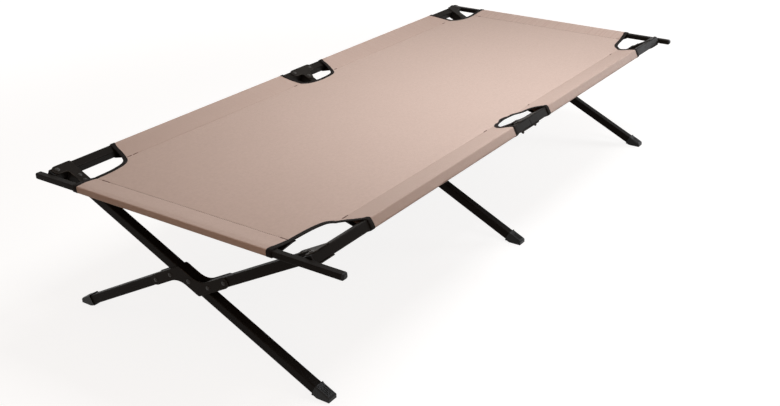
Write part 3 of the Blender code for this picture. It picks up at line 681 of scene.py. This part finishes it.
# Height of the cloth's middle layer: level between the seams, rising from them to rails and bars
def levelOf(x, y):
    level = railZ
    for away, slope in ((abs(y) - seamY, rise[sideOf(y)]), (abs(x) - seamX, rise["bar"])):
        level += slope * (away + math.hypot(away, cloth["bend"])) / 2
    return level


def within(low, x, high):
    return low - cloth["roundOff"] <= x <= high + cloth["roundOff"]


# How far out the sheet reaches at x on one side
def notchEdge(side, x):
    for notch in notches.values():
        line = notch["fine"]
        if notch["side"] != side or not within(line[0].x, x, line[-1].x):
            continue
        for a, b in zip(line, line[1:]):
            if x <= b.x + cloth["roundOff"]:
                share = from0to1((x - a.x) / max(b.x - a.x, cloth["roundOff"]))
                return min(topY[side], a.y + (b.y - a.y) * share)
    return topY[side]


notches = {}
for cutName, points in cutPoints.items():
    fine = smoothLine(points, cloth["cutStep"])
    if fine[0].x > fine[-1].x:
        fine.reverse()
    for a, b in zip(fine, fine[1:]):
        b.x = max(b.x, a.x + cloth["cutLeast"])
    drawn = flare["cuts"].get(cutName, 0.0)
    notches[cutName] = {"side": cutName.split("_")[1], "flare": drawn, "fine": fine}


def flareAt(side, x, y):
    shift = 0.0
    share = from0to1((abs(y) - flare["from"]) / flare["over"])
    for notch in notches.values():
        if notch["side"] == side and notch["flare"]:
            away = abs(x - notch["fine"][0].x) / flare["reach"]
            if away < 1:
                shift += notch["flare"] * (1 - away) ** 2 * (1 + 2 * away) * share * share * (3 - 2 * share)
    return shift


# Sag, seam dips, puckers, short folds and slack ripples of the stretched sheet, fading out at its tubes
def unevenness(x, y):
    fromRail, fromBar = topY[sideOf(y)] - abs(y), topX - abs(x)
    fade = from0to1(fromRail / cloth["fadeWidth"]) * from0to1(fromBar / cloth["fadeWidth"])
    inX, inY = max(0.0, 1 - (x / barX) ** 2), max(0.0, 1 - (y / railY) ** 2)
    lift = -cloth["sag"] * inX * inY
    for away, along, end in ((abs(y) - seamY, x, "side"), (abs(x) - seamX, y, "head" if x > 0 else "foot")):
        lift -= cloth["seamDip"] * bell(away, cloth["seamDipWidth"])
        wobble = noise.noise(Vector((along / puckers["length"], puckers["seed"], away * puckers["drift"])))
        lift += puckers["height"] * wobble * bell(away, puckers["width"])
        folds = noise.noise(Vector((along / pulls["length"], pulls["seed"], away * pulls["drift"])))
        lift += pulls["height"] * pulls[end] * folds * bell(away - pulls["from"], pulls["width"])
    slack = 0.0
    for kind in slackRipples:
        height = noise.noise(Vector((x * kind["along"], y * kind["across"], kind["seed"])))
        if "byRails" in kind:
            height *= bell(abs(y) - railY, kind["byRails"])
        if "byBars" in kind:
            height *= bell(abs(x) - barX, kind["byBars"])
        slack += kind["share"] * height
    slack *= min(1.0, cloth["slackRise"] * inY + cloth["slackLeast"])
    return (lift + cloth["ripple"] * slack) * fade


# World place of the middle of the cloth, and the way its upper side looks there
def sheetPoint(x, y):
    return Vector((x + flareAt(sideOf(y), x, y), midY + y, levelOf(x, y) + unevenness(x, y)))


def sheetNormal(x, y, step=cloth["normalStep"]):
    alongX = sheetPoint(x + step, y) - sheetPoint(x - step, y)
    alongY = sheetPoint(x, y + step) - sheetPoint(x, y - step)
    return alongX.cross(alongY).normalized()


def sheetStations():
    xs = {-topX, cloth["crease"] - topX, topX - cloth["crease"], topX, 0.0}
    keep = {-topX, topX, -seamX, seamX}
    for edge in (seamX, -seamX):
        xs |= {edge + d for d in cloth["seamStations"]}
    for notch in notches.values():
        xs |= {p.x for p in notch["fine"] if abs(p.x) < topX}
        keep |= {notch["fine"][0].x, notch["fine"][-1].x}
    ordered = sorted(xs)
    stations = [ordered[0]]
    for x in ordered[1:]:
        room = x - stations[-1]
        if x in keep and room < cloth["stationGap"] and stations[-1] not in keep:
            stations[-1] = x
        elif room > cloth["stationGap"] or x in keep:
            stations.append(x)
    filled = [stations[0]]
    for x in stations[1:]:
        start = filled[-1]
        count = max(1, math.ceil((x - start) / cloth["stationStep"]))
        filled += [start + (x - start) * k / count for k in range(1, count + 1)]
    return filled


# Rows from the middle line out to the edge at x, close together at the side seam and fixed to it
def rowPlaces(side, x):
    edge, start = notchEdge(side, x), cloth["rowsTo"]
    seam = min(seamY, edge - cloth["edgeRoom"])
    rows = [i * cloth["rowStep"] for i in range(round(start / cloth["rowStep"]) + 1)]
    rows += [start + (seam - start) * share for share in cloth["innerRows"]]
    return rows + [seam + (edge - seam) * share for share in cloth["outerRows"]]


# Stretches along X where this side's cloth goes round its rail
def sleeveSpans(side):
    cuts = sorted(((n["fine"][0].x, n["fine"][-1].x) for n in notches.values() if n["side"] == side))
    return [(cuts[0][1], cuts[1][0]), (cuts[1][1], cuts[2][0])]


def makeCloth():
    bm = bmesh.new()
    flat = bm.loops.layers.uv.new("clothUV")
    spread = {}

    def addVert(place, u, v):
        vert = bm.verts.new(place)
        spread[vert] = (u, v)
        return vert

    def join(rowA, rowB):
        for a, b, c, d in zip(rowA, rowA[1:], rowB[1:], rowB):
            bm.faces.new((a, b, c, d))

    # Below the sheet the wrapped layer follows its unevenness near the seam
    def follow(point):
        return from0to1(1 - (point.x + cloth["seam"]) / cloth["fadeWidth"])

    stations = sheetStations()
    rows = []
    for x in stations:
        ys = [-y for y in reversed(rowPlaces("near", x))] + rowPlaces("far", x)[1:]
        rows.append([addVert(sheetPoint(x, y), x, y) for y in ys])
    for a, b in zip(rows, rows[1:]):
        join(b, a)
    for side, line in railLines.items():
        sign = sideSign[side]
        for low, high in sleeveSpans(side):
            before = None
            for x, row in zip(stations, rows):
                if not within(low, x, high):
                    continue
                here = [row[-1] if sign > 0 else row[0]]
                shift = flareAt(side, x, topY[side])
                for point, length in list(zip(line, lengthsAlong(line)))[1:]:
                    y = sign * (railY + point.x)
                    lift = follow(point) * unevenness(x, y)
                    place = (x + shift * (1 - follow(point)), midY + y, railZ + point.y + lift)
                    here.append(addVert(place, x, sign * (topY[side] + length)))
                if before:
                    join(before, here)
                before = here
    for sign, row in ((-1, rows[0]), (1, rows[-1])):
        before = row
        for point, length in list(zip(barLine, lengthsAlong(barLine)))[1:]:
            x = sign * (barX + point.x)
            here = []
            for v in row:
                lift = follow(point) * unevenness(x, v.co.y - midY)
                place = (x, v.co.y, railZ + point.y + lift)
                here.append(addVert(place, sign * (topX + length), spread[v][1]))
            join(here, before)
            before = here
    for face in bm.faces:
        for loop in face.loops:
            loop[flat].uv = spread[loop.vert]
        face.smooth = True
    bmesh.ops.recalc_face_normals(bm, faces=bm.faces)
    middle = min(bm.faces, key=lambda f: (f.calc_center_median() - Vector((0, midY, railZ))).length)
    if middle.normal.z < 0:
        bmesh.ops.reverse_faces(bm, faces=bm.faces)
    area = sum(face.calc_area() for face in bm.faces)
    obj = meshObject("cloth_cover", bm, makeCanvas("canvasCloth", canvasLook))
    obj.data.materials.append(makeCanvas("canvasBack", canvasLook | backLook))
    solid = obj.modifiers.new("thickness", "SOLIDIFY")
    solid.thickness = cloth["thick"]
    solid.offset = 0
    solid.material_offset = 1
    settle(obj)
    return obj, area


clothCover, clothArea = makeCloth()
print("cloth made:", len(clothCover.data.polygons), "faces, area", round(clothArea, 4))


# Binding tape along each cut-out: round the sleeve's end, along the sheet's edge, round the pocket's end

tape = {
    "sleeveWidth": 0.0130, "curveWidth": 0.0102, "above": 0.0016, "below": 0.0007, "lip": 0.0015,
    "chamfer": 0.0005, "sunk": 0.0002, "step": 0.004, "leastStep": 0.0006, "normalStep": 0.005, "easing": 6,
    # the rounded lip: shares of its own reach, and of the height above or below
    "lipAbove": ((0.6, 0.75), (1.0, 0.2)), "lipBelow": ((1.0, 0.3), (0.6, 0.8)),
}


# Places along a cut-out's edge, each with the way into the cloth, its outer side and the tape's width
def edgeFrames(name):
    side = notches[name]["side"]
    sign = sideSign[side]
    foot = name.startswith("foot")
    run = notches[name]["fine"][::-1] if foot else notches[name]["fine"]
    run = [p for p in run if abs(p.x) <= topX]
    frames = []

    # Round a tube, up or down, with the way to world space of its points and of their outer sides
    def addWrap(points, up, toWorld, outWorld, inward):
        for i, p in enumerate(points):
            a, b = points[max(0, i - 1)], points[min(len(points) - 1, i + 1)]
            along = (a - b) if up else (b - a)
            out = Vector((-along.y, along.x)).normalized()
            frames.append((Vector(toWorld(p)), Vector(inward), Vector(outWorld(out)), tape["sleeveWidth"]))

    def addSleeve(x, inward, up):
        x += flareAt(side, x, topY[side])
        line = railLines[side][::-1] if up else railLines[side]
        addWrap(line, up, lambda p: (x, midY + sign * (railY + p.x), railZ + p.y),
                lambda out: (0, sign * out.x, out.y), (inward, 0, 0))

    def addPocket(y, end):
        addWrap(barLine, False, lambda p: (end * (barX + p.x), midY + y, railZ + p.y),
                lambda out: (end * out.x, 0, out.y), (0, -sign, 0))

    addSleeve(run[0].x, 1 if foot else -1, True)
    for i, p in enumerate(run):
        a, b = run[max(0, i - 1)], run[min(len(run) - 1, i + 1)]
        along = (b - a).normalized()
        inward = Vector((along.y, -along.x))
        if inward.y > 0:
            inward = -inward
        y = sign * min(p.y, topY[side])
        out = sheetNormal(p.x, y, tape["normalStep"])
        frames.append((sheetPoint(p.x, y), Vector((inward.x, sign * inward.y, 0)), out, tape["curveWidth"]))
    if name.startswith("middle"):
        addSleeve(run[-1].x, 1, False)
    else:
        addPocket(sign * run[-1].y, -1 if foot else 1)
    return evenFrames(frames, tape["step"])


# The same line with even steps, its directions and widths eased into each other
def evenFrames(frames, step):
    kept = [frames[0]]
    for f in frames[1:]:
        if (f[0] - kept[-1][0]).length > tape["leastStep"]:
            kept.append(f)
    lengths = lengthsAlong([f[0] for f in kept])
    count = round(lengths[-1] / step)
    made, k = [], 0
    for i in range(count + 1):
        at = lengths[-1] * i / count
        while k < len(kept) - 2 and lengths[k + 1] < at:
            k += 1
        t = (at - lengths[k]) / (lengths[k + 1] - lengths[k])
        made.append([a + (b - a) * t for a, b in zip(kept[k], kept[k + 1])])
    around = [(max(0, i - 1), i, min(count, i + 1)) for i in range(count + 1)]
    for _ in range(tape["easing"]):
        eased = [[(made[a][j] + made[i][j] * 2 + made[b][j]) / 4 for j in (1, 2, 3)] for a, i, b in around]
        for here, turned in zip(made, eased):
            here[1:] = turned
    for a, i, b in around:
        here = made[i]
        along = (made[b][0] - made[a][0]).normalized()
        out = (here[2] - along * here[2].dot(along)).normalized()
        inward = here[1] - along * here[1].dot(along)
        here[1] = (inward - out * inward.dot(out)).normalized()
        here[2] = out
    return made


def tapeSection(width):
    up, down, lip, chamfer = tape["above"], tape["below"], tape["lip"], tape["chamfer"]
    section = [(width, -down + tape["sunk"]), (width, up - chamfer), (width - chamfer, up), (0.0, up)]
    section += [(-reach * lip, high * up) for reach, high in tape["lipAbove"]]
    section += [(-reach * lip, -low * down) for reach, low in tape["lipBelow"]]
    return section + [(0.0, -down), (width - chamfer, -down)]


def makeTapes():
    bm = bmesh.new()
    flat = bm.loops.layers.uv.new("clothUV")
    section = tapeSection(tape["curveWidth"])
    lengths = lengthsAlong(section + section[:1])
    for frames in tapeLines.values():
        rings = []
        for place, inward, out, width in frames:
            rings.append([bm.verts.new(place + inward * a + out * b) for a, b in tapeSection(width)])
        placed = list(zip(rings, lengthsAlong([f[0] for f in frames])))
        for (ringA, atA), (ringB, atB) in zip(placed, placed[1:]):
            for k in range(len(section)):
                n = (k + 1) % len(section)
                face = bm.faces.new((ringA[k], ringA[n], ringB[n], ringB[k]))
                face.smooth = True
                low, high = lengths[k], lengths[k + 1]
                for loop, uv in zip(face.loops, ((atA, low), (atA, high), (atB, high), (atB, low))):
                    loop[flat].uv = uv
        bm.faces.new(rings[0][::-1])
        bm.faces.new(rings[-1])
    bmesh.ops.recalc_face_normals(bm, faces=bm.faces)
    return meshObject("binding_tapes", bm, bindingTape)


tapeLines = {name: edgeFrames(name) for name in notches}
bindingTapes = makeTapes()
print("binding tapes made:", len(tapeLines))


# Stitches, made by Geometry Nodes along curves

# Copies of a shape on points, as plain mesh in one material
def addCopies(tree, put, points, shape, turn, scale, material):
    copies = addNode(tree, "GeometryNodeInstanceOnPoints", {
        "Points": points, "Instance": shape, "Rotation": turn, "Scale": scale})[0]
    real = addNode(tree, "GeometryNodeRealizeInstances", {0: copies})[0]
    coated = addNode(tree, "GeometryNodeSetMaterial", {"Geometry": real, "Material": material})[0]
    tree.links.new(coated, put["Geometry"])


# Short threads along a curve
def makeStitchTree():
    ins = {"Geometry": "Geometry", "Pitch": 0.0045, "Length": 0.0034, "Radius": 0.00035, "Turn": 0.0,
           "Thread": "Material"}
    tree, given, put = newGroup("Geometry", "stitchRow", ins, ["Geometry"])
    spots = {"Curve": given["Geometry"], "Length": given["Pitch"]}
    spots = addNode(tree, "GeometryNodeResampleCurve", spots, mode="LENGTH")[0]
    tangent = addNode(tree, "GeometryNodeInputTangent")[0]
    along = addNode(tree, "FunctionNodeAlignRotationToVector", {"Vector": tangent}, axis="X")[0]
    turn = addNode(tree, "ShaderNodeCombineXYZ", {"Z": given["Turn"]})[0]
    turned = addNode(tree, "FunctionNodeRotateRotation", {0: along, 1: turn}, rotation_space="LOCAL")[0]
    thread = addNode(tree, "GeometryNodeMeshUVSphere", {"Segments": 6, "Rings": 5, "Radius": 1.0})[0]
    smooth = addNode(tree, "GeometryNodeSetShadeSmooth", {0: thread})[0]
    size = {"X": times(tree, given["Length"], 0.5), "Y": given["Radius"], "Z": given["Radius"]}
    size = addNode(tree, "ShaderNodeCombineXYZ", size)[0]
    addCopies(tree, put, spots, smooth, turned, size, given["Thread"])
    return tree


stitchTree = makeStitchTree()


# Puts a Geometry Nodes tree on an object, with values for its named inputs
def growTree(obj, tree, values):
    modifier = obj.modifiers.new(tree.name, "NODES")
    modifier.node_group = tree
    for item in tree.interface.items_tree:
        if item.item_type == "SOCKET" and item.in_out == "INPUT" and item.name in values:
            modifier[item.identifier] = values[item.name]


def stitchObject(name, lines, thread, pitch, length, radius, turn=0.0):
    curve = bpy.data.curves.new(name + "_lines", "CURVE")
    curve.dimensions = "3D"
    for line in lines:
        spline = curve.splines.new("POLY")
        spline.points.add(len(line) - 1)
        for point, place in zip(spline.points, line):
            point.co = (*place, 1)
    guide = addObject(name + "_lines", curve)
    growTree(guide, stitchTree, {"Pitch": pitch, "Length": length, "Radius": radius,
                                 "Turn": math.radians(turn), "Thread": threads[thread]})
    mesh = finishedMesh(guide)
    bpy.data.objects.remove(guide, do_unlink=True)
    mesh.name = name
    return addObject(name, mesh)


stitch = {
    # thread, pitch, length, radius and turn of each kind
    "side": ("seamThread", 0.0050, 0.0036, 0.00045, 0.0),
    "pocket": ("pocketThread", 0.0050, 0.0040, 0.00075, 78.0),
    "tape": ("darkThread", 0.0042, 0.0030, 0.00035, 0.0),
    "tack": ("tackThread", 0.0011, 0.0046, 0.0006, 62.0),
    "fromEdge": 0.012,
    "guideStep": 0.009,
    "tapeInset": 0.0014,
    "sink": 0.0001,
    "tackLift": 0.0002,
    "tackParts": 4,
    # bar tacks near the seams' ends: start and length along a side seam, then along an end seam
    "farTacks": ((-0.788, 0.014), (-0.768, 0.016), (-0.110, 0.012), (0.094, 0.012), (0.760, 0.012)),
    "nearTacks": ((-0.776, 0.020), (-0.131, 0.016), (0.130, 0.008), (0.730, 0.012)),
    "footTacks": ((0.252, 0.024), (-0.300, 0.018)),
    "headTacks": ((0.270, 0.010), (-0.290, 0.010)),
}


# The seams that close the sleeves and the pockets, as (start, end) on the sheet
def seamLines():
    seams = {"side": [], "pocket": []}
    for side, sign in sideSign.items():
        for low, high in sleeveSpans(side):
            seams["side"].append(((low, sign * seamY), (high, sign * seamY)))
    for name, end in endSign.items():
        near, far = (notches[f"{name}_{side}"]["fine"] for side in ("near", "far"))
        reach = [min(line, key=lambda p: abs(p.x - end * seamX)).y for line in (near, far)]
        seams["pocket"].append(((end * seamX, -reach[0]), (end * seamX, reach[1])))
    return seams


def alongSeam(start, end, inset, lift):
    a, b = Vector(start), Vector(end)
    way = (b - a).normalized()
    a, b = a + way * inset, b - way * inset
    count = max(2, round((b - a).length / stitch["guideStep"]))
    spots = [a.lerp(b, i / count) for i in range(count + 1)]
    spots = [p for p in spots if abs(p.y) < notchEdge(sideOf(p.y), p.x) - inset]
    return [sheetPoint(*p) + sheetNormal(*p) * lift for p in spots]


def tackLines():
    lines = []
    for side, sign in sideSign.items():
        lines += [((x, sign * seamY), (x + long, sign * seamY)) for x, long in stitch[side + "Tacks"]]
    for name, end in endSign.items():
        lines += [((end * seamX, y), (end * seamX, y + long)) for y, long in stitch[name + "Tacks"]]
    return lines


def makeStitches():
    top, below = halfCloth, -halfCloth - cloth["thick"] - cloth["hemGap"]
    made = []
    for kind, seams in seamLines().items():
        rows = [alongSeam(a, b, stitch["fromEdge"], lift) for a, b in seams for lift in (top, below)]
        made.append(stitchObject(kind + "_seam_stitches", rows, *stitch[kind]))
    rows = []
    for frames in tapeLines.values():
        for lift in (tape["above"], -tape["below"] - stitch["sink"]):
            rows.append([place + inward * (width - stitch["tapeInset"]) + out * lift
                         for place, inward, out, width in frames])
    made.append(stitchObject("tape_stitches", rows, *stitch["tape"]))
    tacks = []
    for a, b in tackLines():
        spots = [Vector(a).lerp(Vector(b), i / stitch["tackParts"]) for i in range(stitch["tackParts"] + 1)]
        tacks.append([sheetPoint(*p) + sheetNormal(*p) * (top + stitch["tackLift"]) for p in spots])
    made.append(stitchObject("bar_tacks", tacks, *stitch["tack"]))
    return made


stitches = makeStitches()
print("stitches made")


# Rivet heads: round domes over the CAD heads and tails, made by Geometry Nodes

rivets = {
    "plateOut": 0.0148,
    "tailOut": 0.0151,
    "headRadius": 0.0056,
    "pivotRadius": 0.0066,
    "tailRadius": 0.0052,
    "longTailRadius": 0.0043,  # the middle brackets' tails are narrower and stand taller
    "longTail": 4.0,
    "flatness": 1.0,
    "cornerFromRailEnd": 0.0145,
    "cornerDown": (0.041, 0.061),
    "middleAlong": 0.037,
    "middleDown": 0.030,
    "stepInner": 0.05409,
    "stepOuter": 0.11329,
    "legX": (-0.925, 0.0, 0.925),
    "railEnd": 0.975,
    "segments": 24,
    # radius and height along a head of radius 1: a short rim, a shoulder, and a shallow punch mark
    "profile": ((1.0, -0.05), (1.0, 0.05), (0.94, 0.16), (0.76, 0.28), (0.50, 0.36), (0.26, 0.385),
                (0.17, 0.375), (0.12, 0.33), (0.0, 0.32)),
}


# The tilted space of a rail and the leg under it: X along the rail, Y across, Z off the plates
def sideMatrix(side):
    sign = sideSign[side]
    return Matrix.Translation((0, midY + sign * railY, railZ)) @ Matrix.Rotation(sign * leans[side], 4, "X")


# (place, way its head looks, radius, tallness, body) of each head and tail
def rivetSpots():
    spots = []
    head, pivot = rivets["headRadius"], rivets["pivotRadius"]

    def both(matrix, place, way, radius, body, longTail=False):
        tail = (rivets["longTailRadius"], rivets["longTail"]) if longTail else (rivets["tailRadius"], 1.0)
        turn = matrix.to_3x3()
        ends = ((1, rivets["plateOut"], radius, 1.0), (-1, rivets["tailOut"], *tail))
        for direction, lift, size, tall in ends:
            look = Vector(way) * direction
            spots.append((matrix @ (Vector(place) + look * lift), turn @ look, size, tall, body))

    for side, sign in sideSign.items():
        for legX in rivets["legX"]:
            if legX:
                end = math.copysign(rivets["railEnd"] - rivets["cornerFromRailEnd"], legX)
                places = [(end, 0, pivot)] + [(legX, down, head) for down in rivets["cornerDown"]]
            else:
                places = [(-rivets["middleAlong"], 0, head), (rivets["middleAlong"], 0, head),
                          (0, rivets["middleDown"], head)]
            for x, down, radius in places:
                place = (x, -sign * down, 0)
                both(sideMatrix(side), place, (0, 0, 1), radius, side + "_frame", not legX and not down)
    reach = math.sqrt((legLength / 2) ** 2 - halfOffset ** 2)
    for legX in rivets["legX"]:
        places = [(reach, halfOffset, pivot)]
        for d in (rivets["stepInner"], rivets["stepOuter"]):
            places += [(reach - d, 0, head), (reach + d, 2 * halfOffset, head)]
        for y, z, radius in places:
            both(sideMatrix("near"), (legX, y, z), (-1, 0, 0), radius, "near_frame")
    return spots


def makeHeadShape():
    bm = bmesh.new()
    turns = [2 * math.pi * i / rivets["segments"] for i in range(rivets["segments"])]
    rings = [[bm.verts.new((radius * math.cos(t), radius * math.sin(t), height)) for t in turns]
             for radius, height in rivets["profile"][:-1]]
    tip = bm.verts.new((0, 0, rivets["profile"][-1][1]))
    for a, b in zip(rings, rings[1:]):
        for i in range(len(turns)):
            bm.faces.new((a[i - 1], a[i], b[i], b[i - 1]))
    for i in range(len(turns)):
        bm.faces.new((rings[-1][i - 1], rings[-1][i], tip))
    bm.faces.new(rings[0])
    for face in bm.faces:
        face.smooth = len(face.verts) < 5
    bmesh.ops.recalc_face_normals(bm, faces=bm.faces)
    return meshObject("rivet_shape", bm, coats["rivetCoat"])


# A head on each point, by the point's own direction, size and tallness
def makeRivetTree():
    ins = {"Geometry": "Geometry", "Head": "Object", "Flatness": 1.0, "Coat": "Material"}
    tree, given, put = newGroup("Geometry", "rivetHeads", ins, ["Geometry"])

    def attribute(name, kind):
        return addNode(tree, "GeometryNodeInputNamedAttribute", {"Name": name}, data_type=kind)[0]

    shape = addNode(tree, "GeometryNodeObjectInfo", {"Object": given["Head"]})["Geometry"]
    way, size = attribute("way", "FLOAT_VECTOR"), attribute("size", "FLOAT")
    turn = addNode(tree, "FunctionNodeAlignRotationToVector", {"Vector": way}, axis="Z")[0]
    tall = times(tree, times(tree, size, attribute("tall", "FLOAT")), given["Flatness"])
    scale = addNode(tree, "ShaderNodeCombineXYZ", {"X": size, "Y": size, "Z": tall})[0]
    addCopies(tree, put, given["Geometry"], shape, turn, scale, given["Coat"])
    return tree


def makeRivets():
    shape, tree = makeHeadShape(), makeRivetTree()
    for body in ("far_frame", "near_frame"):
        chosen = [s for s in rivetSpots() if s[4] == body]
        mesh = bpy.data.meshes.new("spots")
        mesh.from_pydata([s[0] for s in chosen], [], [])
        ways = [c for s in chosen for c in s[1]]
        mesh.attributes.new("way", "FLOAT_VECTOR", "POINT").data.foreach_set("vector", ways)
        for label, column in (("size", 2), ("tall", 3)):
            values = [s[column] for s in chosen]
            mesh.attributes.new(label, "FLOAT", "POINT").data.foreach_set("value", values)
        points = addObject(body.replace("_frame", "_rivet_heads"), mesh)
        growTree(points, tree, {"Head": shape, "Flatness": rivets["flatness"], "Coat": coats["rivetCoat"]})
        settle(points)
        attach(points, body)
    bpy.data.objects.remove(shape, do_unlink=True)


makeRivets()
print("rivet heads made")


# The new cloth pieces keep their world places, and the CAD cloth they stand in for is hidden

softNodes = [n for n in frame["nodes"] if "cloth" in n]
for piece in [clothCover, bindingTapes] + stitches:
    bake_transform(piece)
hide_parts(*softNodes)


# Floor, world and lamps

stage = {
    "floorSize": 60.0, "floor": (0.30, 0.295, 0.285), "rough": 0.9, "specular": 0.0,
    "liftNear": 0.85, "liftFar": 1.0, "liftFrom": 1.2, "liftTo": 3.4,
    "ambient": 0.22, "ambientColor": (1.0, 0.76, 0.60), "backdrop": 1.0,
}
lamps = {
    "key": {"place": (0.17, -0.38, 1.80), "aim": (0.17, -0.38, 0.0), "size": 0.9, "watts": 23.2,
            "color": (0.968, 1.0, 1.05)},
    "nearFill": {"place": (2.3, -1.2, 0.85), "aim": (0.9, -0.4, 0.37), "size": 0.9, "watts": 17.0,
                 "color": (0.96, 1.0, 1.05)},
    "warmFill": {"place": (-3.4, -2.0, 1.6), "aim": (-0.8, 0.0, 0.3), "size": 1.6, "watts": 13.8,
                 "color": (1.0, 0.58, 0.39)},
}


# What the camera, gloss and glass see
def seenRay(tree):
    path = addNode(tree, "ShaderNodeLightPath")
    both = math2(tree, "MAXIMUM", path["Is Camera Ray"], path["Is Glossy Ray"])
    return math2(tree, "MAXIMUM", both, path["Is Transmission Ray"])


def addFloor():
    bm = bmesh.new()
    bmesh.ops.create_grid(bm, x_segments=1, y_segments=1, size=stage["floorSize"] / 2)
    material, tree, shader = newMaterial("floorPaper", stage)
    shader["Base Color"].default_value = (*stage["floor"], 1)
    shader["Emission Color"].default_value = (1, 1, 1, 1)
    away = addNode(tree, "ShaderNodeVectorMath", {0: objectPlace(tree)}, operation="LENGTH")["Value"]
    lift = addNode(tree, "ShaderNodeMapRange", {
        "Value": away, "From Min": stage["liftFrom"], "From Max": stage["liftTo"],
        "To Min": stage["liftNear"], "To Max": stage["liftFar"]}, interpolation_type="SMOOTHSTEP")[0]
    tree.links.new(times(tree, seenRay(tree), lift), shader["Emission Strength"])
    meshObject("floor", bm, material)


def addWorld():
    world = bpy.data.worlds.new("studio")
    bpy.context.scene.world = world
    world.use_nodes = True
    tree = world.node_tree
    tree.nodes.clear()
    light = {"Color": (*stage["ambientColor"], 1), "Strength": stage["ambient"]}
    white = {"Color": (1, 1, 1, 1), "Strength": stage["backdrop"]}
    light, white = (addNode(tree, "ShaderNodeBackground", values)[0] for values in (light, white))
    mix = addNode(tree, "ShaderNodeMixShader", {0: seenRay(tree), 1: light, 2: white})[0]
    tree.links.new(mix, tree.nodes.new("ShaderNodeOutputWorld").inputs[0])


def addLamps():
    for name, lamp in lamps.items():
        data = bpy.data.lights.new(name, "AREA")
        data.size = lamp["size"]
        data.energy = lamp["watts"]
        data.color = lamp["color"]
        light = addObject(name, data)
        light.location = lamp["place"]
        aim = Vector(lamp["aim"]) - light.location
        light.rotation_euler = aim.to_track_quat("-Z", "Y").to_euler()


addFloor()
addWorld()
addLamps()
bpy.context.scene.view_settings.view_transform = "Standard"
print("stage lit")
